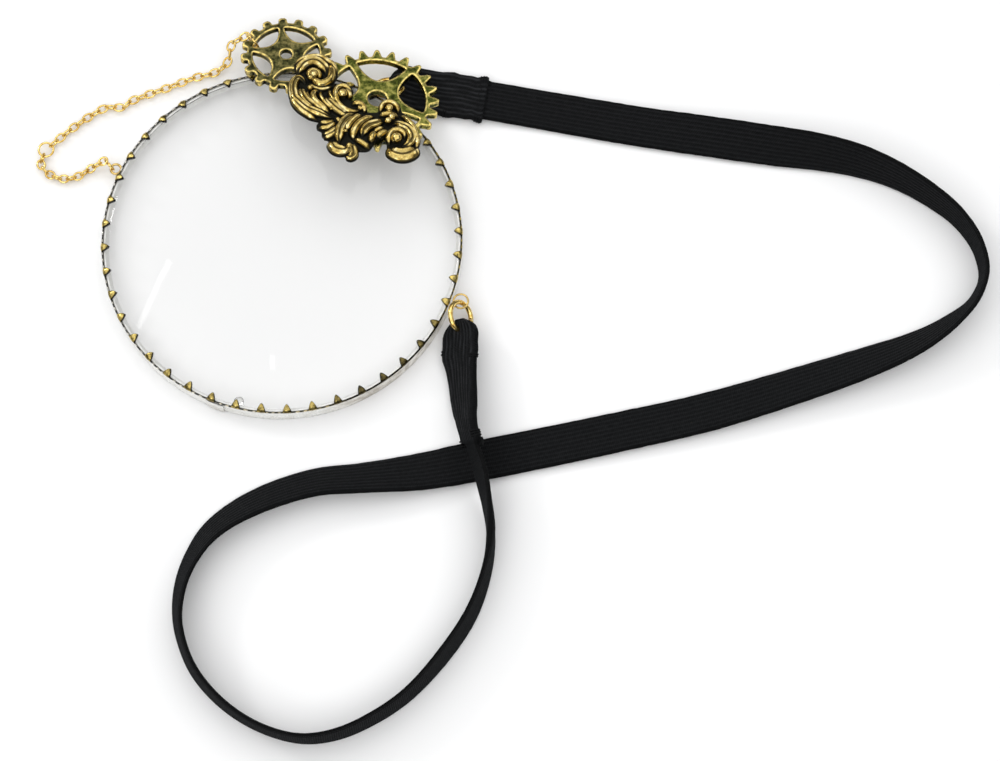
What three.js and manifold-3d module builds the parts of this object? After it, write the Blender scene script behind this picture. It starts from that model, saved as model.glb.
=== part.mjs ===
// A clear monocle eyepiece lying face up on a table, trimmed with two gears, a leaf-scroll casting
// and a fine chain, and worn on an elastic head strap. Millimetres, +Z up, +Y away from the viewer.
import * as THREE from 'three';
import { mergeVertices } from 'three/addons/utils/BufferGeometryUtils.js';
import Module from 'manifold-3d';

// Bezel strip, its prongs and the glass
const BEZEL_RADIUS = 35;
const BAND_WALL = 0.5;
const BAND_HEIGHT = 4.2;
const PRONG_COUNT = 44;
const PRONG_TURN = 2.8;
const PRONG_WIDTH = 1.75;
const PRONG_REACH = 1.3;
const PRONG_HEIGHT = 0.6;
const PRONG_TIP = 0.4;
const LENS_THICKNESS = 1.6;
const LENS_CROWN = 3.5;
const CEMENT_SIZE = 1.1;

// Gears, as laid over the rim
const LEFT_TIP_RADIUS = 9;
const LEFT_TEETH = 16;
const LEFT_OVERHANG = 3;
const LEFT_LIFT = 0.5;
const RIGHT_TIP_RADIUS = 12.15;
const RIGHT_TEETH = 24;
const RIGHT_OVERHANG = -1.73;
const RIGHT_LIFT = 2.4;
const GEAR_THICKNESS = 1.4;
const GEAR_MESH = 0.35;
const SPOKE_COUNT = 5;
const PAD_RADIUS = 1.2;

// Casting: its span, the thickness of its back plate and the height of its leaves
const SCROLL_SPAN = 25;
const SCROLL_PLATE = 0.9;
const SCROLL_RELIEF = 1.3;

// Soldered eyes and jump rings
const EYE_RADIUS = 1.7;
const EYE_WIRE = 0.6;
const LOWER_EYE_RADIUS = 1.4;
const LOWER_EYE_WIRE = 0.5;
const PULL_TURN = 5;
const CHAIN_EYE_RADIUS = 1;
const CHAIN_EYE_WIRE = 0.5;
const RING_RADIUS = 2.9;
const RING_WIRE = 1;
const RING_SLACK = 0.25;
const GEAR_RING_RADIUS = 1.8;
const BEZEL_RING_RADIUS = 1.3;
const SMALL_RING_WIRE = 0.45;
const JOINING_RING_RADIUS = 1.45;

// Chain links
const UPPER_LINKS = 28;
const LOWER_LINKS = 12;
const LINK_WIRE = 0.36;
const LINK_WIDTH = 1.75;
const LINK_SLACK = 0.12;
const LINK_HOOK = 0.28;

// Elastic strap
const STRAP_WIDTH = 8;
const STRAP_THICKNESS = 1;
const DOUBLED_WIDTH = 8.2;
const DOUBLED_THICKNESS = 1.9;
const SLOT_CLEARANCE = 0.35;

// Clearances: left between fixed pieces for cement or solder, under the glass's prongs, above the table
const FIT_GAP = 0.2;
const PRONG_CLEARANCE = 0.3;
const TABLE_GAP = 0.05;

const wasm = await Module();
wasm.setup();
const rad = THREE.MathUtils.degToRad;
const Z = new THREE.Vector3(0, 0, 1);
const vec = (x, y, z = 0) => new THREE.Vector3(x, y, z);
const polar = (radius, degrees, z = 0) =>
  vec(radius * Math.cos(rad(degrees)), radius * Math.sin(rad(degrees)), z);

// Solid through a row of rings of points; a closed row joins its last ring to its first
function loft(rings, closed = false) {
  const count = rings[0].length;
  const rows = closed ? rings.length : rings.length - 1;
  const index = [];
  for (let row = 0; row < rows; row += 1) {
    const near = row * count;
    const far = ((row + 1) % rings.length) * count;
    for (let j = 0; j < count; j += 1) {
      const k = (j + 1) % count;
      index.push(near + j, near + k, far + k, near + j, far + k, far + j);
    }
  }
  if (!closed) {
    const end = (rings.length - 1) * count;
    for (let j = 1; j < count - 1; j += 1) {
      index.push(0, j + 1, j, end, end + j, end + j + 1);
    }
  }
  const geometry = new THREE.BufferGeometry();
  const points = rings.flat().flatMap((p) => [p.x, p.y, p.z]);
  geometry.setAttribute('position', new THREE.Float32BufferAttribute(points, 3));
  geometry.setIndex(index);
  return geometry;
}

// Turned solid about Z from a profile of [radius, height] points
function turned(profile, segments) {
  const points = profile.map(([r, z]) => new THREE.Vector2(r, z));
  return new THREE.LatheGeometry(points, segments).rotateX(Math.PI / 2);
}

function positionOnly(geometry) {
  const bare = new THREE.BufferGeometry();
  bare.setAttribute('position', geometry.getAttribute('position').clone());
  bare.setIndex(geometry.getIndex());
  return mergeVertices(bare, 1e-4);
}

// Turns every facet the other way round where the volume inside comes out negative
function facingOut(geometry) {
  const bare = positionOnly(geometry);
  const p = bare.getAttribute('position');
  const index = bare.getIndex();
  let volume = 0;
  for (let i = 0; i < index.count; i += 3) {
    const [a, b, c] = [0, 1, 2].map((k) => vec(0, 0).fromBufferAttribute(p, index.getX(i + k)));
    volume += a.dot(b.cross(c));
  }
  if (volume < 0) {
    for (let i = 0; i < index.count; i += 3) {
      const swap = index.getX(i + 1);
      index.setX(i + 1, index.getX(i + 2));
      index.setX(i + 2, swap);
    }
  }
  return bare;
}

function toSolid(geometry) {
  const bare = facingOut(geometry);
  return new wasm.Manifold(
    new wasm.Mesh({
      numProp: 3,
      vertProperties: new Float32Array(bare.getAttribute('position').array),
      triVerts: new Uint32Array(bare.getIndex().array),
    }),
  );
}

function toGeometry(solid) {
  const mesh = solid.getMesh();
  const geometry = new THREE.BufferGeometry();
  geometry.setAttribute('position', new THREE.Float32BufferAttribute(mesh.vertProperties, 3));
  geometry.setIndex(Array.from(mesh.triVerts));
  return geometry;
}

// Bent wire: an oval of the given half-length and half-width, cut open by a slit if it is a jump ring
function wireOval(halfLength, halfWidth, wire, steps, sides, slit = 0) {
  const rings = [];
  const last = slit > 0 ? steps : steps - 1;
  for (let i = 0; i <= last; i += 1) {
    const turn = slit / 2 + (i / steps) * (2 * Math.PI - slit);
    const out = vec(halfWidth * Math.cos(turn), halfLength * Math.sin(turn)).normalize();
    const centre = vec(halfLength * Math.cos(turn), halfWidth * Math.sin(turn));
    const ring = [];
    for (let j = 0; j < sides; j += 1) {
      const around = ((j + 0.5) / sides) * 2 * Math.PI;
      const point = centre.clone().addScaledVector(out, (wire / 2) * Math.cos(around));
      ring.push(point.addScaledVector(Z, (-wire / 2) * Math.sin(around)));
    }
    rings.push(ring);
  }
  return loft(rings, slit === 0);
}

// Places a shape drawn in its own X, Y, Z so that X and Y follow two given directions
function place(geometry, origin, along, across) {
  const x = along.clone().normalize();
  const z = x.clone().cross(across).normalize();
  const y = z.clone().cross(x);
  return geometry.applyMatrix4(new THREE.Matrix4().makeBasis(x, y, z).setPosition(origin));
}

const group = new THREE.Group();
const trim = [];

function addPart(name, geometry, color, metalness, roughness, worn = false) {
  const material = new THREE.MeshStandardMaterial({ color, metalness, roughness });
  const mesh = new THREE.Mesh(facingOut(geometry), material);
  mesh.name = name;
  group.add(mesh);
  if (worn) {
    trim.push(mesh);
  }
}

// Glass: a thin dome, hollow behind, with its edge inside the band
const lensRadius = BEZEL_RADIUS - BAND_WALL - FIT_GAP;
const lensEdge = BAND_HEIGHT - PRONG_CLEARANCE;
const domeRadius = (lensRadius ** 2 + LENS_CROWN ** 2) / (2 * LENS_CROWN);
const domeCentre = lensEdge + LENS_CROWN - domeRadius;
const frontHeight = (r) => domeCentre + Math.sqrt(domeRadius ** 2 - r ** 2);
const backHeight = (r) => domeCentre + Math.sqrt((domeRadius - LENS_THICKNESS) ** 2 - r ** 2);
const lensProfile = [];
for (let i = 0; i <= 5; i += 1) {
  const r = (lensRadius * i) / 5;
  lensProfile.push([r, backHeight(r)]);
}
for (let i = 5; i >= 0; i -= 1) {
  const r = (lensRadius * i) / 5;
  lensProfile.push([r, frontHeight(r)]);
}
addPart('lens', turned(lensProfile, 66), 0xf2f6f5, 0, 0.05, true);

// Bezel: one strip bent round, with its upper edge cut into prongs that fold in over the glass
const bandInner = BEZEL_RADIUS - BAND_WALL;
const prongTop = BAND_HEIGHT + PRONG_HEIGHT;
const band = turned(
  [
    [bandInner, 0],
    [BEZEL_RADIUS, 0],
    [BEZEL_RADIUS, BAND_HEIGHT],
    [bandInner, BAND_HEIGHT],
    [bandInner, 0],
  ],
  2 * PRONG_COUNT,
);
const prongSection = (r, width, low, high) => [
  vec(r, width / 2, low),
  vec(r, width / 4, high),
  vec(r, -width / 4, high),
  vec(r, -width / 2, low),
];
let bezel = toSolid(band);
const tipRadius = bandInner - PRONG_REACH;
const tipLow = frontHeight(tipRadius) + PRONG_CLEARANCE;
for (let i = 0; i < PRONG_COUNT; i += 1) {
  const prong = loft([
    prongSection(BEZEL_RADIUS - BAND_WALL / 4, PRONG_WIDTH, BAND_HEIGHT - FIT_GAP, prongTop - 0.2),
    prongSection(bandInner, PRONG_WIDTH * 0.9, BAND_HEIGHT - 0.1, prongTop),
    prongSection(tipRadius, PRONG_TIP, tipLow, tipLow + 0.25),
  ]);
  prong.rotateZ(rad(PRONG_TURN + (360 / PRONG_COUNT) * i));
  bezel = bezel.add(toSolid(prong));
}
addPart('serrated_bezel', toGeometry(bezel), 0xb08d4a, 0.9, 0.4, true);

// Cement that fills the corner between the band and the glass's back
const beadRadius = bandInner - FIT_GAP;
const beadInner = beadRadius - CEMENT_SIZE;
const bead = [
  [beadRadius, backHeight(beadRadius) - FIT_GAP],
  [beadInner, backHeight(beadInner) - FIT_GAP],
  [beadInner, backHeight(beadInner) - FIT_GAP - 0.3],
  [beadRadius, backHeight(beadRadius) - FIT_GAP - CEMENT_SIZE],
  [beadRadius, backHeight(beadRadius) - FIT_GAP],
];
addPart('cement_bead', turned(bead, 66), 0xe9ebe6, 0, 0.3, true);

// Cast gear: teeth outside, five lens-shaped openings between its spokes, and a hub hole
function castGear(gear) {
  const outline = [];
  for (let i = 0; i < gear.teeth; i += 1) {
    const turn = gear.toothTurn + (360 / gear.teeth) * i;
    const corner = (radius, offset) => {
      const p = polar(radius, turn + THREE.MathUtils.radToDeg(offset / radius));
      outline.push(new THREE.Vector2(p.x, p.y));
    };
    corner(gear.root, -gear.toothBase / 2);
    corner(gear.tip - gear.round, -gear.toothTip / 2);
    corner(gear.tip, -gear.toothTip / 4);
    corner(gear.tip, gear.toothTip / 4);
    corner(gear.tip - gear.round, gear.toothTip / 2);
    corner(gear.root, gear.toothBase / 2);
  }
  const shape = new THREE.Shape(outline);
  const share = 360 / SPOKE_COUNT;
  const half = share / 2 - THREE.MathUtils.radToDeg(gear.spoke / 2 / gear.rim);
  const bulge = 2 * gear.hub - gear.rim * Math.cos(rad(half));
  for (let i = 0; i < SPOKE_COUNT; i += 1) {
    const middle = gear.spokeTurn + share * (i + 0.5);
    const start = polar(gear.rim, middle - half);
    const control = polar(bulge, middle);
    const opening = new THREE.Path();
    opening.absarc(0, 0, gear.rim, rad(middle - half), rad(middle + half), false);
    opening.quadraticCurveTo(control.x, control.y, start.x, start.y);
    shape.holes.push(opening);
  }
  const bore = new THREE.Path();
  bore.absarc(0, 0, gear.bore, 0, 2 * Math.PI, true);
  shape.holes.push(bore);
  const body = new THREE.ExtrudeGeometry(shape, {
    depth: GEAR_THICKNESS,
    bevelEnabled: false,
    curveSegments: 9,
  });
  return body.translate(0, 0, -GEAR_THICKNESS / 2);
}

// Frame of a plate that leans away from the viewer and to the right
function leaning(origin, back, right) {
  const x = vec(Math.cos(rad(right)), 0, -Math.sin(rad(right)));
  const z = x.clone().cross(vec(0, Math.cos(rad(back)), -Math.sin(rad(back)))).normalize();
  const y = z.clone().cross(x);
  return new THREE.Matrix4().makeBasis(x, y, z).setPosition(origin);
}

const leftGear = {
  teeth: LEFT_TEETH,
  tip: LEFT_TIP_RADIUS,
  root: LEFT_TIP_RADIUS - 1.25,
  rim: LEFT_TIP_RADIUS - 2.4,
  hub: LEFT_TIP_RADIUS * 0.4,
  bore: LEFT_TIP_RADIUS * 0.13,
  toothBase: (LEFT_TIP_RADIUS / LEFT_TEETH) * 3.3,
  toothTip: (LEFT_TIP_RADIUS / LEFT_TEETH) * 2.9,
  round: 0.3,
  spoke: 1.2,
  toothTurn: 96,
  spokeTurn: 100,
};
const leftGearTurn = 89.8;
const leftReach = BEZEL_RADIUS + LEFT_OVERHANG;
const leftFrame = leaning(polar(leftReach, leftGearTurn, prongTop + LEFT_LIFT), 15, 3.7);
addPart('left_gear', castGear(leftGear).applyMatrix4(leftFrame), 0x6e5f35, 0.9, 0.5, true);

const rightGear = {
  teeth: RIGHT_TEETH,
  tip: RIGHT_TIP_RADIUS,
  root: RIGHT_TIP_RADIUS - 1.75,
  rim: RIGHT_TIP_RADIUS - 2.65,
  hub: RIGHT_TIP_RADIUS * 0.36,
  bore: RIGHT_TIP_RADIUS * 0.155,
  toothBase: (RIGHT_TIP_RADIUS / RIGHT_TEETH) * 4,
  toothTip: (RIGHT_TIP_RADIUS / RIGHT_TEETH) * 2,
  round: 0.35,
  spoke: 1.7,
  toothTurn: 0,
  spokeTurn: 48,
};
// The right gear stands round the rim from the left one by as much as brings their teeth together
const rightReach = BEZEL_RADIUS + RIGHT_OVERHANG;
const gearSpacing = LEFT_TIP_RADIUS + RIGHT_TIP_RADIUS - GEAR_MESH;
const gearCosine = (leftReach ** 2 + rightReach ** 2 - gearSpacing ** 2) / (2 * leftReach * rightReach);
const gearTurn = Math.acos(gearCosine);
const rightGearTurn = leftGearTurn - THREE.MathUtils.radToDeg(gearTurn);
const rightFrame = leaning(polar(rightReach, rightGearTurn, prongTop + RIGHT_LIFT), 16, 5.5);
addPart('right_gear', castGear(rightGear).applyMatrix4(rightFrame), 0xa98d48, 0.9, 0.45, true);

// Cement under one spoke of each gear, on top of the prongs
function cementPad(name, frame, degrees) {
  const spot = polar(BEZEL_RADIUS - BAND_WALL, degrees, prongTop);
  const normal = vec(0, 0).setFromMatrixColumn(frame, 2);
  const origin = vec(0, 0).setFromMatrixPosition(frame);
  const rise = origin.sub(spot).dot(normal) / normal.z - GEAR_THICKNESS / 2 / normal.z;
  const pad = new THREE.SphereGeometry(1, 12, 6).rotateX(Math.PI / 2);
  const flat = Math.max(0.12, rise / 2 - FIT_GAP);
  pad.scale(PAD_RADIUS, PAD_RADIUS, flat);
  addPart(name, pad.translate(spot.x, spot.y, spot.z + rise / 2), 0xd9d6c8, 0, 0.3, true);
}
cementPad('left_gear_cement', leftFrame, 93.2);
cementPad('right_gear_cement', rightFrame, 49.2);

// Leaf-scroll casting, drawn 25 wide in the right gear's plane from that gear's centre
const scrollScale = SCROLL_SPAN / 25;
const plateOutlines = [
  [
    [-17, 1.6], [-16.8, 5], [-14.7, 7.9], [-12.5, 8.9], [-9.7, 8], [-8, 5.1], [-7.9, 2.5],
    [-5.2, 1.6], [-4.8, -1.3], [-2.5, -3.4], [-4, -5.6], [-8.3, -7], [-12.4, -6.2],
    [-15.1, -4.3], [-16.8, -1.5],
  ],
  [
    [-11.6, -6.8], [-7.5, -5.6], [-4.2, -4], [0, -3.9], [0.4, -2.1], [2.4, -1.3], [4.5, -2.9],
    [6.7, -6.3], [8, -9.7], [7.7, -13.1], [5.2, -15.2], [2.5, -14.4], [1.3, -12.2], [-1.6, -13.4],
    [-4.2, -13.8], [-4.6, -15.2], [-6.9, -15.2], [-9.4, -12.9], [-10.8, -11.2], [-11.8, -8.4],
  ],
];
const leafLines = [
  {
    width: 1.5,
    line: [
      [-14.6, 3.1], [-15.9, 3.5], [-16.5, 2.2], [-16.5, -0.5],
      [-15.5, -3.1], [-11.3, -5.8], [-8.4, -5.6],
    ],
  },
  { width: 1.2, line: [[-14.4, 1.7], [-14.7, -0.2], [-13.7, -2.4], [-12.2, -3.9], [-9.5, -4.7]] },
  { width: 1.1, line: [[-11.2, 0.2], [-12.4, 0], [-12.8, -1.2], [-10.9, -3.1], [-8.8, -3.7]] },
  { width: 1.1, line: [[-10, -0.2], [-9.9, -1.6], [-8.8, -2.7]] },
  {
    width: 1.2,
    line: [
      [-6, 1.7], [-7.4, 1.6], [-7.9, 0.4], [-7.7, -1.6],
      [-4.9, -4.2], [-3.1, -3.9], [-3.5, -2.7],
    ],
  },
  { width: 1.3, line: [[-7, -6.4], [-9.2, -6.9], [-11.3, -7.8]] },
  { width: 1.3, line: [[-7, -6.9], [-9, -8], [-10.8, -9.6]] },
  { width: 1.3, line: [[-7.2, -7.5], [-8.8, -9.2], [-10.2, -11.2]] },
  { width: 1.4, line: [[-1, -4.5], [-4.2, -5.3], [-6.1, -7.6], [-7.3, -10.3], [-7.4, -12.2]] },
  {
    width: 1.7,
    line: [
      [1.4, -6], [-1.5, -6.2], [-3.8, -7.8],
      [-4.8, -9.9], [-4.4, -11.8], [-2, -12.6],
    ],
  },
  { width: 1.3, line: [[1.2, -7.5], [-1.4, -8.1], [-3, -10]] },
  { width: 1.3, line: [[1.6, -9.2], [-0.4, -9.8], [-1.3, -11.5]] },
  { width: 1.6, line: [[-9.1, -12.2], [-8.7, -13.4], [-7.3, -14.2], [-5.6, -14.6], [-5.1, -13.2]] },
  { width: 1.3, line: [[0.4, -4.4], [0.8, -2.6], [2.4, -1.9], [3.9, -2.8], [5, -5], [6.2, -7.2]] },
];
const volutes = [
  { x: -12.4, y: 4.2, from: 4.1, to: 1.2, start: 178, sweep: -420, width: 1.3 },
  { x: 4.1, y: -10.9, from: 4, to: 1.2, start: 122, sweep: -400, width: 1.3 },
];
const bosses = [[-12.4, 4.2, 0.9], [-6.4, 0.2, 0.9], [4.1, -10.9, 0.9], [2.4, -3.7, 0.8]];

// Leaf with a rounded back, thinning towards both of its ends
function leaf(points, width) {
  const path = new THREE.CatmullRomCurve3(points.map(([x, y]) => vec(x, y)));
  const steps = Math.max(4, Math.round(path.getLength() / 1.15));
  const rings = [];
  for (let i = 0; i <= steps; i += 1) {
    const t = i / steps;
    const centre = path.getPointAt(t);
    const side = Z.clone().cross(path.getTangentAt(t));
    const swell = 0.55 + 0.45 * Math.sin(Math.PI * t);
    const ring = [];
    for (let j = 0; j <= 4; j += 1) {
      const turn = (Math.PI * j) / 4;
      const point = centre.clone().addScaledVector(side, (width / 2) * swell * Math.cos(turn));
      point.z = SCROLL_PLATE / 2 + (SCROLL_PLATE / 2 + SCROLL_RELIEF * swell) * Math.sin(turn);
      ring.push(point);
    }
    rings.push(ring);
  }
  return loft(rings);
}

function scrollCasting() {
  let casting = null;
  const join = (geometry) => {
    casting = casting ? casting.add(toSolid(geometry)) : toSolid(geometry);
  };
  for (const outline of plateOutlines) {
    const points = outline.map(([x, y]) => vec(x, y));
    const rim = new THREE.CatmullRomCurve3(points, true).getPoints(2 * points.length);
    const shape = new THREE.Shape(rim.slice(0, -1).map((p) => new THREE.Vector2(p.x, p.y)));
    join(new THREE.ExtrudeGeometry(shape, { depth: SCROLL_PLATE, bevelEnabled: false }));
  }
  for (const { width, line } of leafLines) {
    join(leaf(line, width));
  }
  for (const v of volutes) {
    const line = [];
    for (let i = 0; i <= 16; i += 1) {
      const t = i / 16;
      const p = polar(v.from + (v.to - v.from) * t ** 1.3, v.start + v.sweep * t);
      line.push([v.x + p.x, v.y + p.y]);
    }
    join(leaf(line, v.width));
  }
  for (const [x, y, radius] of bosses) {
    const boss = new THREE.SphereGeometry(radius, 10, 6).rotateX(Math.PI / 2);
    join(boss.translate(x, y, SCROLL_PLATE + SCROLL_RELIEF * 0.6));
  }
  const sized = toGeometry(casting).scale(scrollScale, scrollScale, 1);
  return sized.translate(0, 0, GEAR_THICKNESS / 2 + PRONG_CLEARANCE);
}
addPart('scroll_ornament', scrollCasting().applyMatrix4(rightFrame), 0xc79a3a, 0.95, 0.35, true);

// Soldered eyes on the bezel's wall: the upper one stands up, the other two lie flat
const eyeOut = EYE_RADIUS + EYE_WIRE / 2;
const pull = polar(1, PULL_TURN);
const hingeSide = polar(1, PULL_TURN + 90);
const upperEyeTurn = 62;
const upperEyeOut = 2 * FIT_GAP + eyeOut * Math.cos(rad(upperEyeTurn - PULL_TURN));
const upperEye = polar(BEZEL_RADIUS + upperEyeOut, upperEyeTurn, eyeOut + FIT_GAP);
const lowerEyeOut = FIT_GAP + LOWER_EYE_RADIUS + LOWER_EYE_WIRE / 2;
const lowerEye = polar(BEZEL_RADIUS + lowerEyeOut, -19.5, BAND_HEIGHT - LOWER_EYE_WIRE - FIT_GAP);
const chainEyeOut = CHAIN_EYE_RADIUS + CHAIN_EYE_WIRE / 2;
const chainEyeTurn = 155;
const chainEye = polar(BEZEL_RADIUS + FIT_GAP + chainEyeOut, chainEyeTurn, BAND_HEIGHT / 2);
const upperLoop = wireOval(EYE_RADIUS, EYE_RADIUS, EYE_WIRE, 20, 6);
const lowerLoop = wireOval(LOWER_EYE_RADIUS, LOWER_EYE_RADIUS, LOWER_EYE_WIRE, 20, 6);
const chainLoop = wireOval(CHAIN_EYE_RADIUS, CHAIN_EYE_RADIUS, CHAIN_EYE_WIRE, 16, 6);
const lying = (loop, spot) => place(loop, spot, vec(1, 0), vec(0, 1));
addPart('upper_strap_eye', place(upperLoop, upperEye, pull, Z), 0xb98f3a, 0.95, 0.35, true);
addPart('lower_strap_eye', lying(lowerLoop, lowerEye), 0xb98f3a, 0.95, 0.35, true);
addPart('chain_eye', lying(chainLoop, chainEye), 0xb98f3a, 0.95, 0.35, true);

// Strap rings: each hangs in its eye, leans over and passes through the doubled end of the strap
const between = (first, second, degrees) =>
  first.clone().multiplyScalar(Math.cos(rad(degrees))).addScaledVector(second, Math.sin(rad(degrees)));
const upperLean = between(Z, hingeSide, -55);
const upperHeight = RING_RADIUS * upperLean.z + RING_WIRE / 2 + 2 * TABLE_GAP;
const upperPole = upperEye.clone().addScaledVector(pull, RING_SLACK).setZ(upperHeight);
const upperRing = upperPole.clone().addScaledVector(pull, RING_RADIUS);
const lowerLean = between(Z, vec(1, 0), -42.5);
const lowerPull = vec(0, -1);
const lowerPole = lowerEye.clone().addScaledVector(lowerPull, RING_SLACK);
const lowerRing = lowerPole.clone().addScaledVector(lowerPull, RING_RADIUS);
const jumpRing = (radius, wire, steps) => wireOval(radius, radius, wire, steps, 7, 0.25 / radius);
const tiltedPull = pull.clone().applyAxisAngle(upperLean.clone().cross(pull).normalize(), rad(-60));
const upperAcross = upperLean.clone().cross(pull).cross(tiltedPull);
addPart(
  'upper_strap_ring',
  place(jumpRing(RING_RADIUS, RING_WIRE, 26), upperRing, tiltedPull, upperAcross),
  0xd2a544,
  0.95,
  0.25,
);
addPart(
  'lower_strap_ring',
  place(jumpRing(RING_RADIUS, RING_WIRE, 26), lowerRing, lowerLean.clone().negate(), lowerPull),
  0xd2a544,
  0.95,
  0.25,
);

// Strap cross-section: a flat band with eased corners, its left edge turned up by the roll angle
function strapSection(centre, heading, roll, width, thickness) {
  const left = Z.clone().cross(heading).normalize();
  const up = heading.clone().cross(left).normalize();
  const across = between(left, up, roll);
  const face = between(up, left, -roll);
  const ease = Math.min(0.35, width / 6);
  return [
    [1, 0, -0.25], [1, 0, 0.25], [1, -ease, 0.5], [-1, ease, 0.5],
    [-1, 0, 0.25], [-1, 0, -0.25], [-1, ease, -0.5], [1, -ease, -0.5],
  ].map(([side, inset, level]) => {
    const edge = centre.clone().addScaledVector(across, (side * width) / 2 + inset);
    return edge.addScaledVector(face, level * thickness);
  });
}
function restHeight(roll, width, thickness) {
  const upright = (width / 2) * Math.abs(Math.sin(rad(roll)));
  return TABLE_GAP + upright + (thickness / 2) * Math.abs(Math.cos(rad(roll)));
}

// Doubled end: folded back, sewn, rounded at its tip and slotted for its ring.
// Each station is [x, y, height of the middle, roll], from the raw edge of the fold to the tip.
function doubledEnd(stations, slotCentre, slotLength, slotWidth) {
  const path = new THREE.CatmullRomCurve3(stations.map(([x, y, z]) => vec(x, y, z)));
  const rolls = new THREE.CatmullRomCurve3(stations.map(([x, y, z, roll]) => vec(roll, 0)));
  const length = path.getLength();
  const steps = [0, 0.2, 0.4, 0.6, 0.72, 0.8, 0.86, 0.91, 0.95, 0.98, 1];
  let frame = null;
  const rings = steps.map((t) => {
    const heading = path.getTangentAt(t).setZ(0).normalize();
    const toTip = (1 - t) * length;
    const rounding = Math.min(1, toTip / (DOUBLED_WIDTH * 0.45));
    const width = DOUBLED_WIDTH * Math.max(0.3, Math.sqrt(1 - (1 - rounding) ** 2));
    const roll = rolls.getPointAt(t).x;
    const centre = path.getPointAt(t);
    if (toTip < DOUBLED_WIDTH && !frame) {
      frame = { heading, roll };
    }
    const thickness = DOUBLED_THICKNESS * (toTip < 0.1 ? 0.5 : 1);
    return strapSection(centre, heading, roll, width, thickness);
  });
  const across = between(Z.clone().cross(frame.heading), Z, frame.roll);
  const slot = new THREE.Shape();
  const half = Math.max(0.05, (slotWidth - slotLength) / 2);
  slot.absarc(0, half, slotLength / 2, 0, Math.PI, false);
  slot.absarc(0, -half, slotLength / 2, Math.PI, 2 * Math.PI, false);
  const depth = 4 * DOUBLED_THICKNESS;
  const cutter = new THREE.ExtrudeGeometry(slot, { depth, bevelEnabled: false, curveSegments: 6 });
  place(cutter.translate(0, 0, -depth / 2), slotCentre, frame.heading, across);
  return toGeometry(toSolid(loft(rings)).subtract(toSolid(cutter)));
}
const upperSlot = upperRing.clone().addScaledVector(pull, RING_RADIUS);
const upperFlat = restHeight(0, DOUBLED_WIDTH, DOUBLED_THICKNESS);
const slotReach = RING_WIRE + 2 * SLOT_CLEARANCE;
const upperEnd = doubledEnd(
  [
    [39, 30.4, upperFlat + 0.05, 180],
    [33, 31.35, upperFlat + 0.1, 180],
    [upperSlot.x + 4.2, upperSlot.y - 0.65, upperFlat + 0.35, 180],
    [upperSlot.x, upperSlot.y, upperHeight - 0.1, 178],
    [upperSlot.x - 2.9, upperSlot.y + 0.45, upperHeight + 0.25, 174],
  ],
  upperSlot.clone().addScaledVector(pull, -0.3),
  slotReach + 1.4,
  slotReach + DOUBLED_THICKNESS * 1.43 + 1.3,
);
addPart('strap_upper_end', upperEnd, 0x17181b, 0, 0.85);
const lowerSlot = lowerRing.clone().addScaledVector(lowerPull, RING_RADIUS);
const lowerEnd = doubledEnd(
  [
    [36.4, -39.3, 6.05, 111],
    [35.5, -32.7, 4.45, 121],
    [35, -26.6, 4.05, 128],
    [lowerSlot.x - 0.1, lowerSlot.y - 4.4, 3.75, 138],
    [lowerSlot.x, lowerSlot.y, lowerSlot.z, 142],
    [lowerSlot.x, lowerSlot.y + 2.3, lowerSlot.z, 142],
  ],
  lowerSlot,
  slotReach + 0.2,
  slotReach + 0.3,
);
addPart('strap_lower_end', lowerEnd, 0x17181b, 0, 0.85);

// Single run of elastic between the two doubled ends, as it lies on the table.
// Each station is [x, y, roll, lift above the table]; the lift carries it over its own earlier run.
const strapRoute = [
  [39.4, 30.33, 0, 0.5], [52, 28.1, 3, 0], [69.4, 24.8, 8, 0], [84, 22.4, 16, 0], [96.4, 20.3, 26, 0],
  [105, 18.8, 36, 0], [113.2, 16.9, 47, 0], [121.2, 14.2, 57, 0], [128.3, 10.6, 68, 0],
  [133.4, 6.1, 78, 0], [136, 0.5, 87, 0], [136.3, -5.1, 88, 0], [134.6, -10.6, 80, 0],
  [129.2, -16.4, 62, 0], [122.1, -20.7, 46, 0], [113.5, -24.1, 32, 0], [101.8, -28, 21, 0],
  [81.8, -34, 10, 0], [66, -37.6, 6, 0], [53, -40.4, 3, 0], [39, -43.3, 3, 0], [27.5, -45.8, 16, 0],
  [15.5, -47.4, 33, 0], [7.1, -48.3, 37, 0], [-2.7, -51.6, 41, 0], [-11.1, -56.8, 50, 0],
  [-15.9, -63.5, 62, 0], [-17.9, -70.3, 71, 0], [-17.6, -77.4, 79, 0], [-14.7, -84.7, 83, 0],
  [-8.8, -91.3, 87, 0], [-1.5, -95.7, 90, 0], [5.5, -97.5, 90, 0], [12, -96.7, 88, 0],
  [18.6, -93.8, 86, 0], [25.2, -89.2, 84, 0], [32.6, -80.8, 80, 0], [37.1, -73.6, 80, 0],
  [39.8, -65.8, 83, 0], [40.6, -58.6, 90, 0.2], [39.9, -53, 97, 0.9], [38.7, -47.2, 105, 1.8],
  [37.6, -43.3, 109, 1.9], [36.6, -39.62, 111, 1.85],
];
const routeLine = strapRoute.map(([x, y]) => vec(x, y));
const routeTwist = strapRoute.map(([x, y, roll, lift]) => vec(roll, lift));
const routePath = new THREE.CatmullRomCurve3(routeLine, false, 'catmullrom');
const routeRoll = new THREE.CatmullRomCurve3(routeTwist, false, 'catmullrom');
const strapRings = [];
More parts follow.
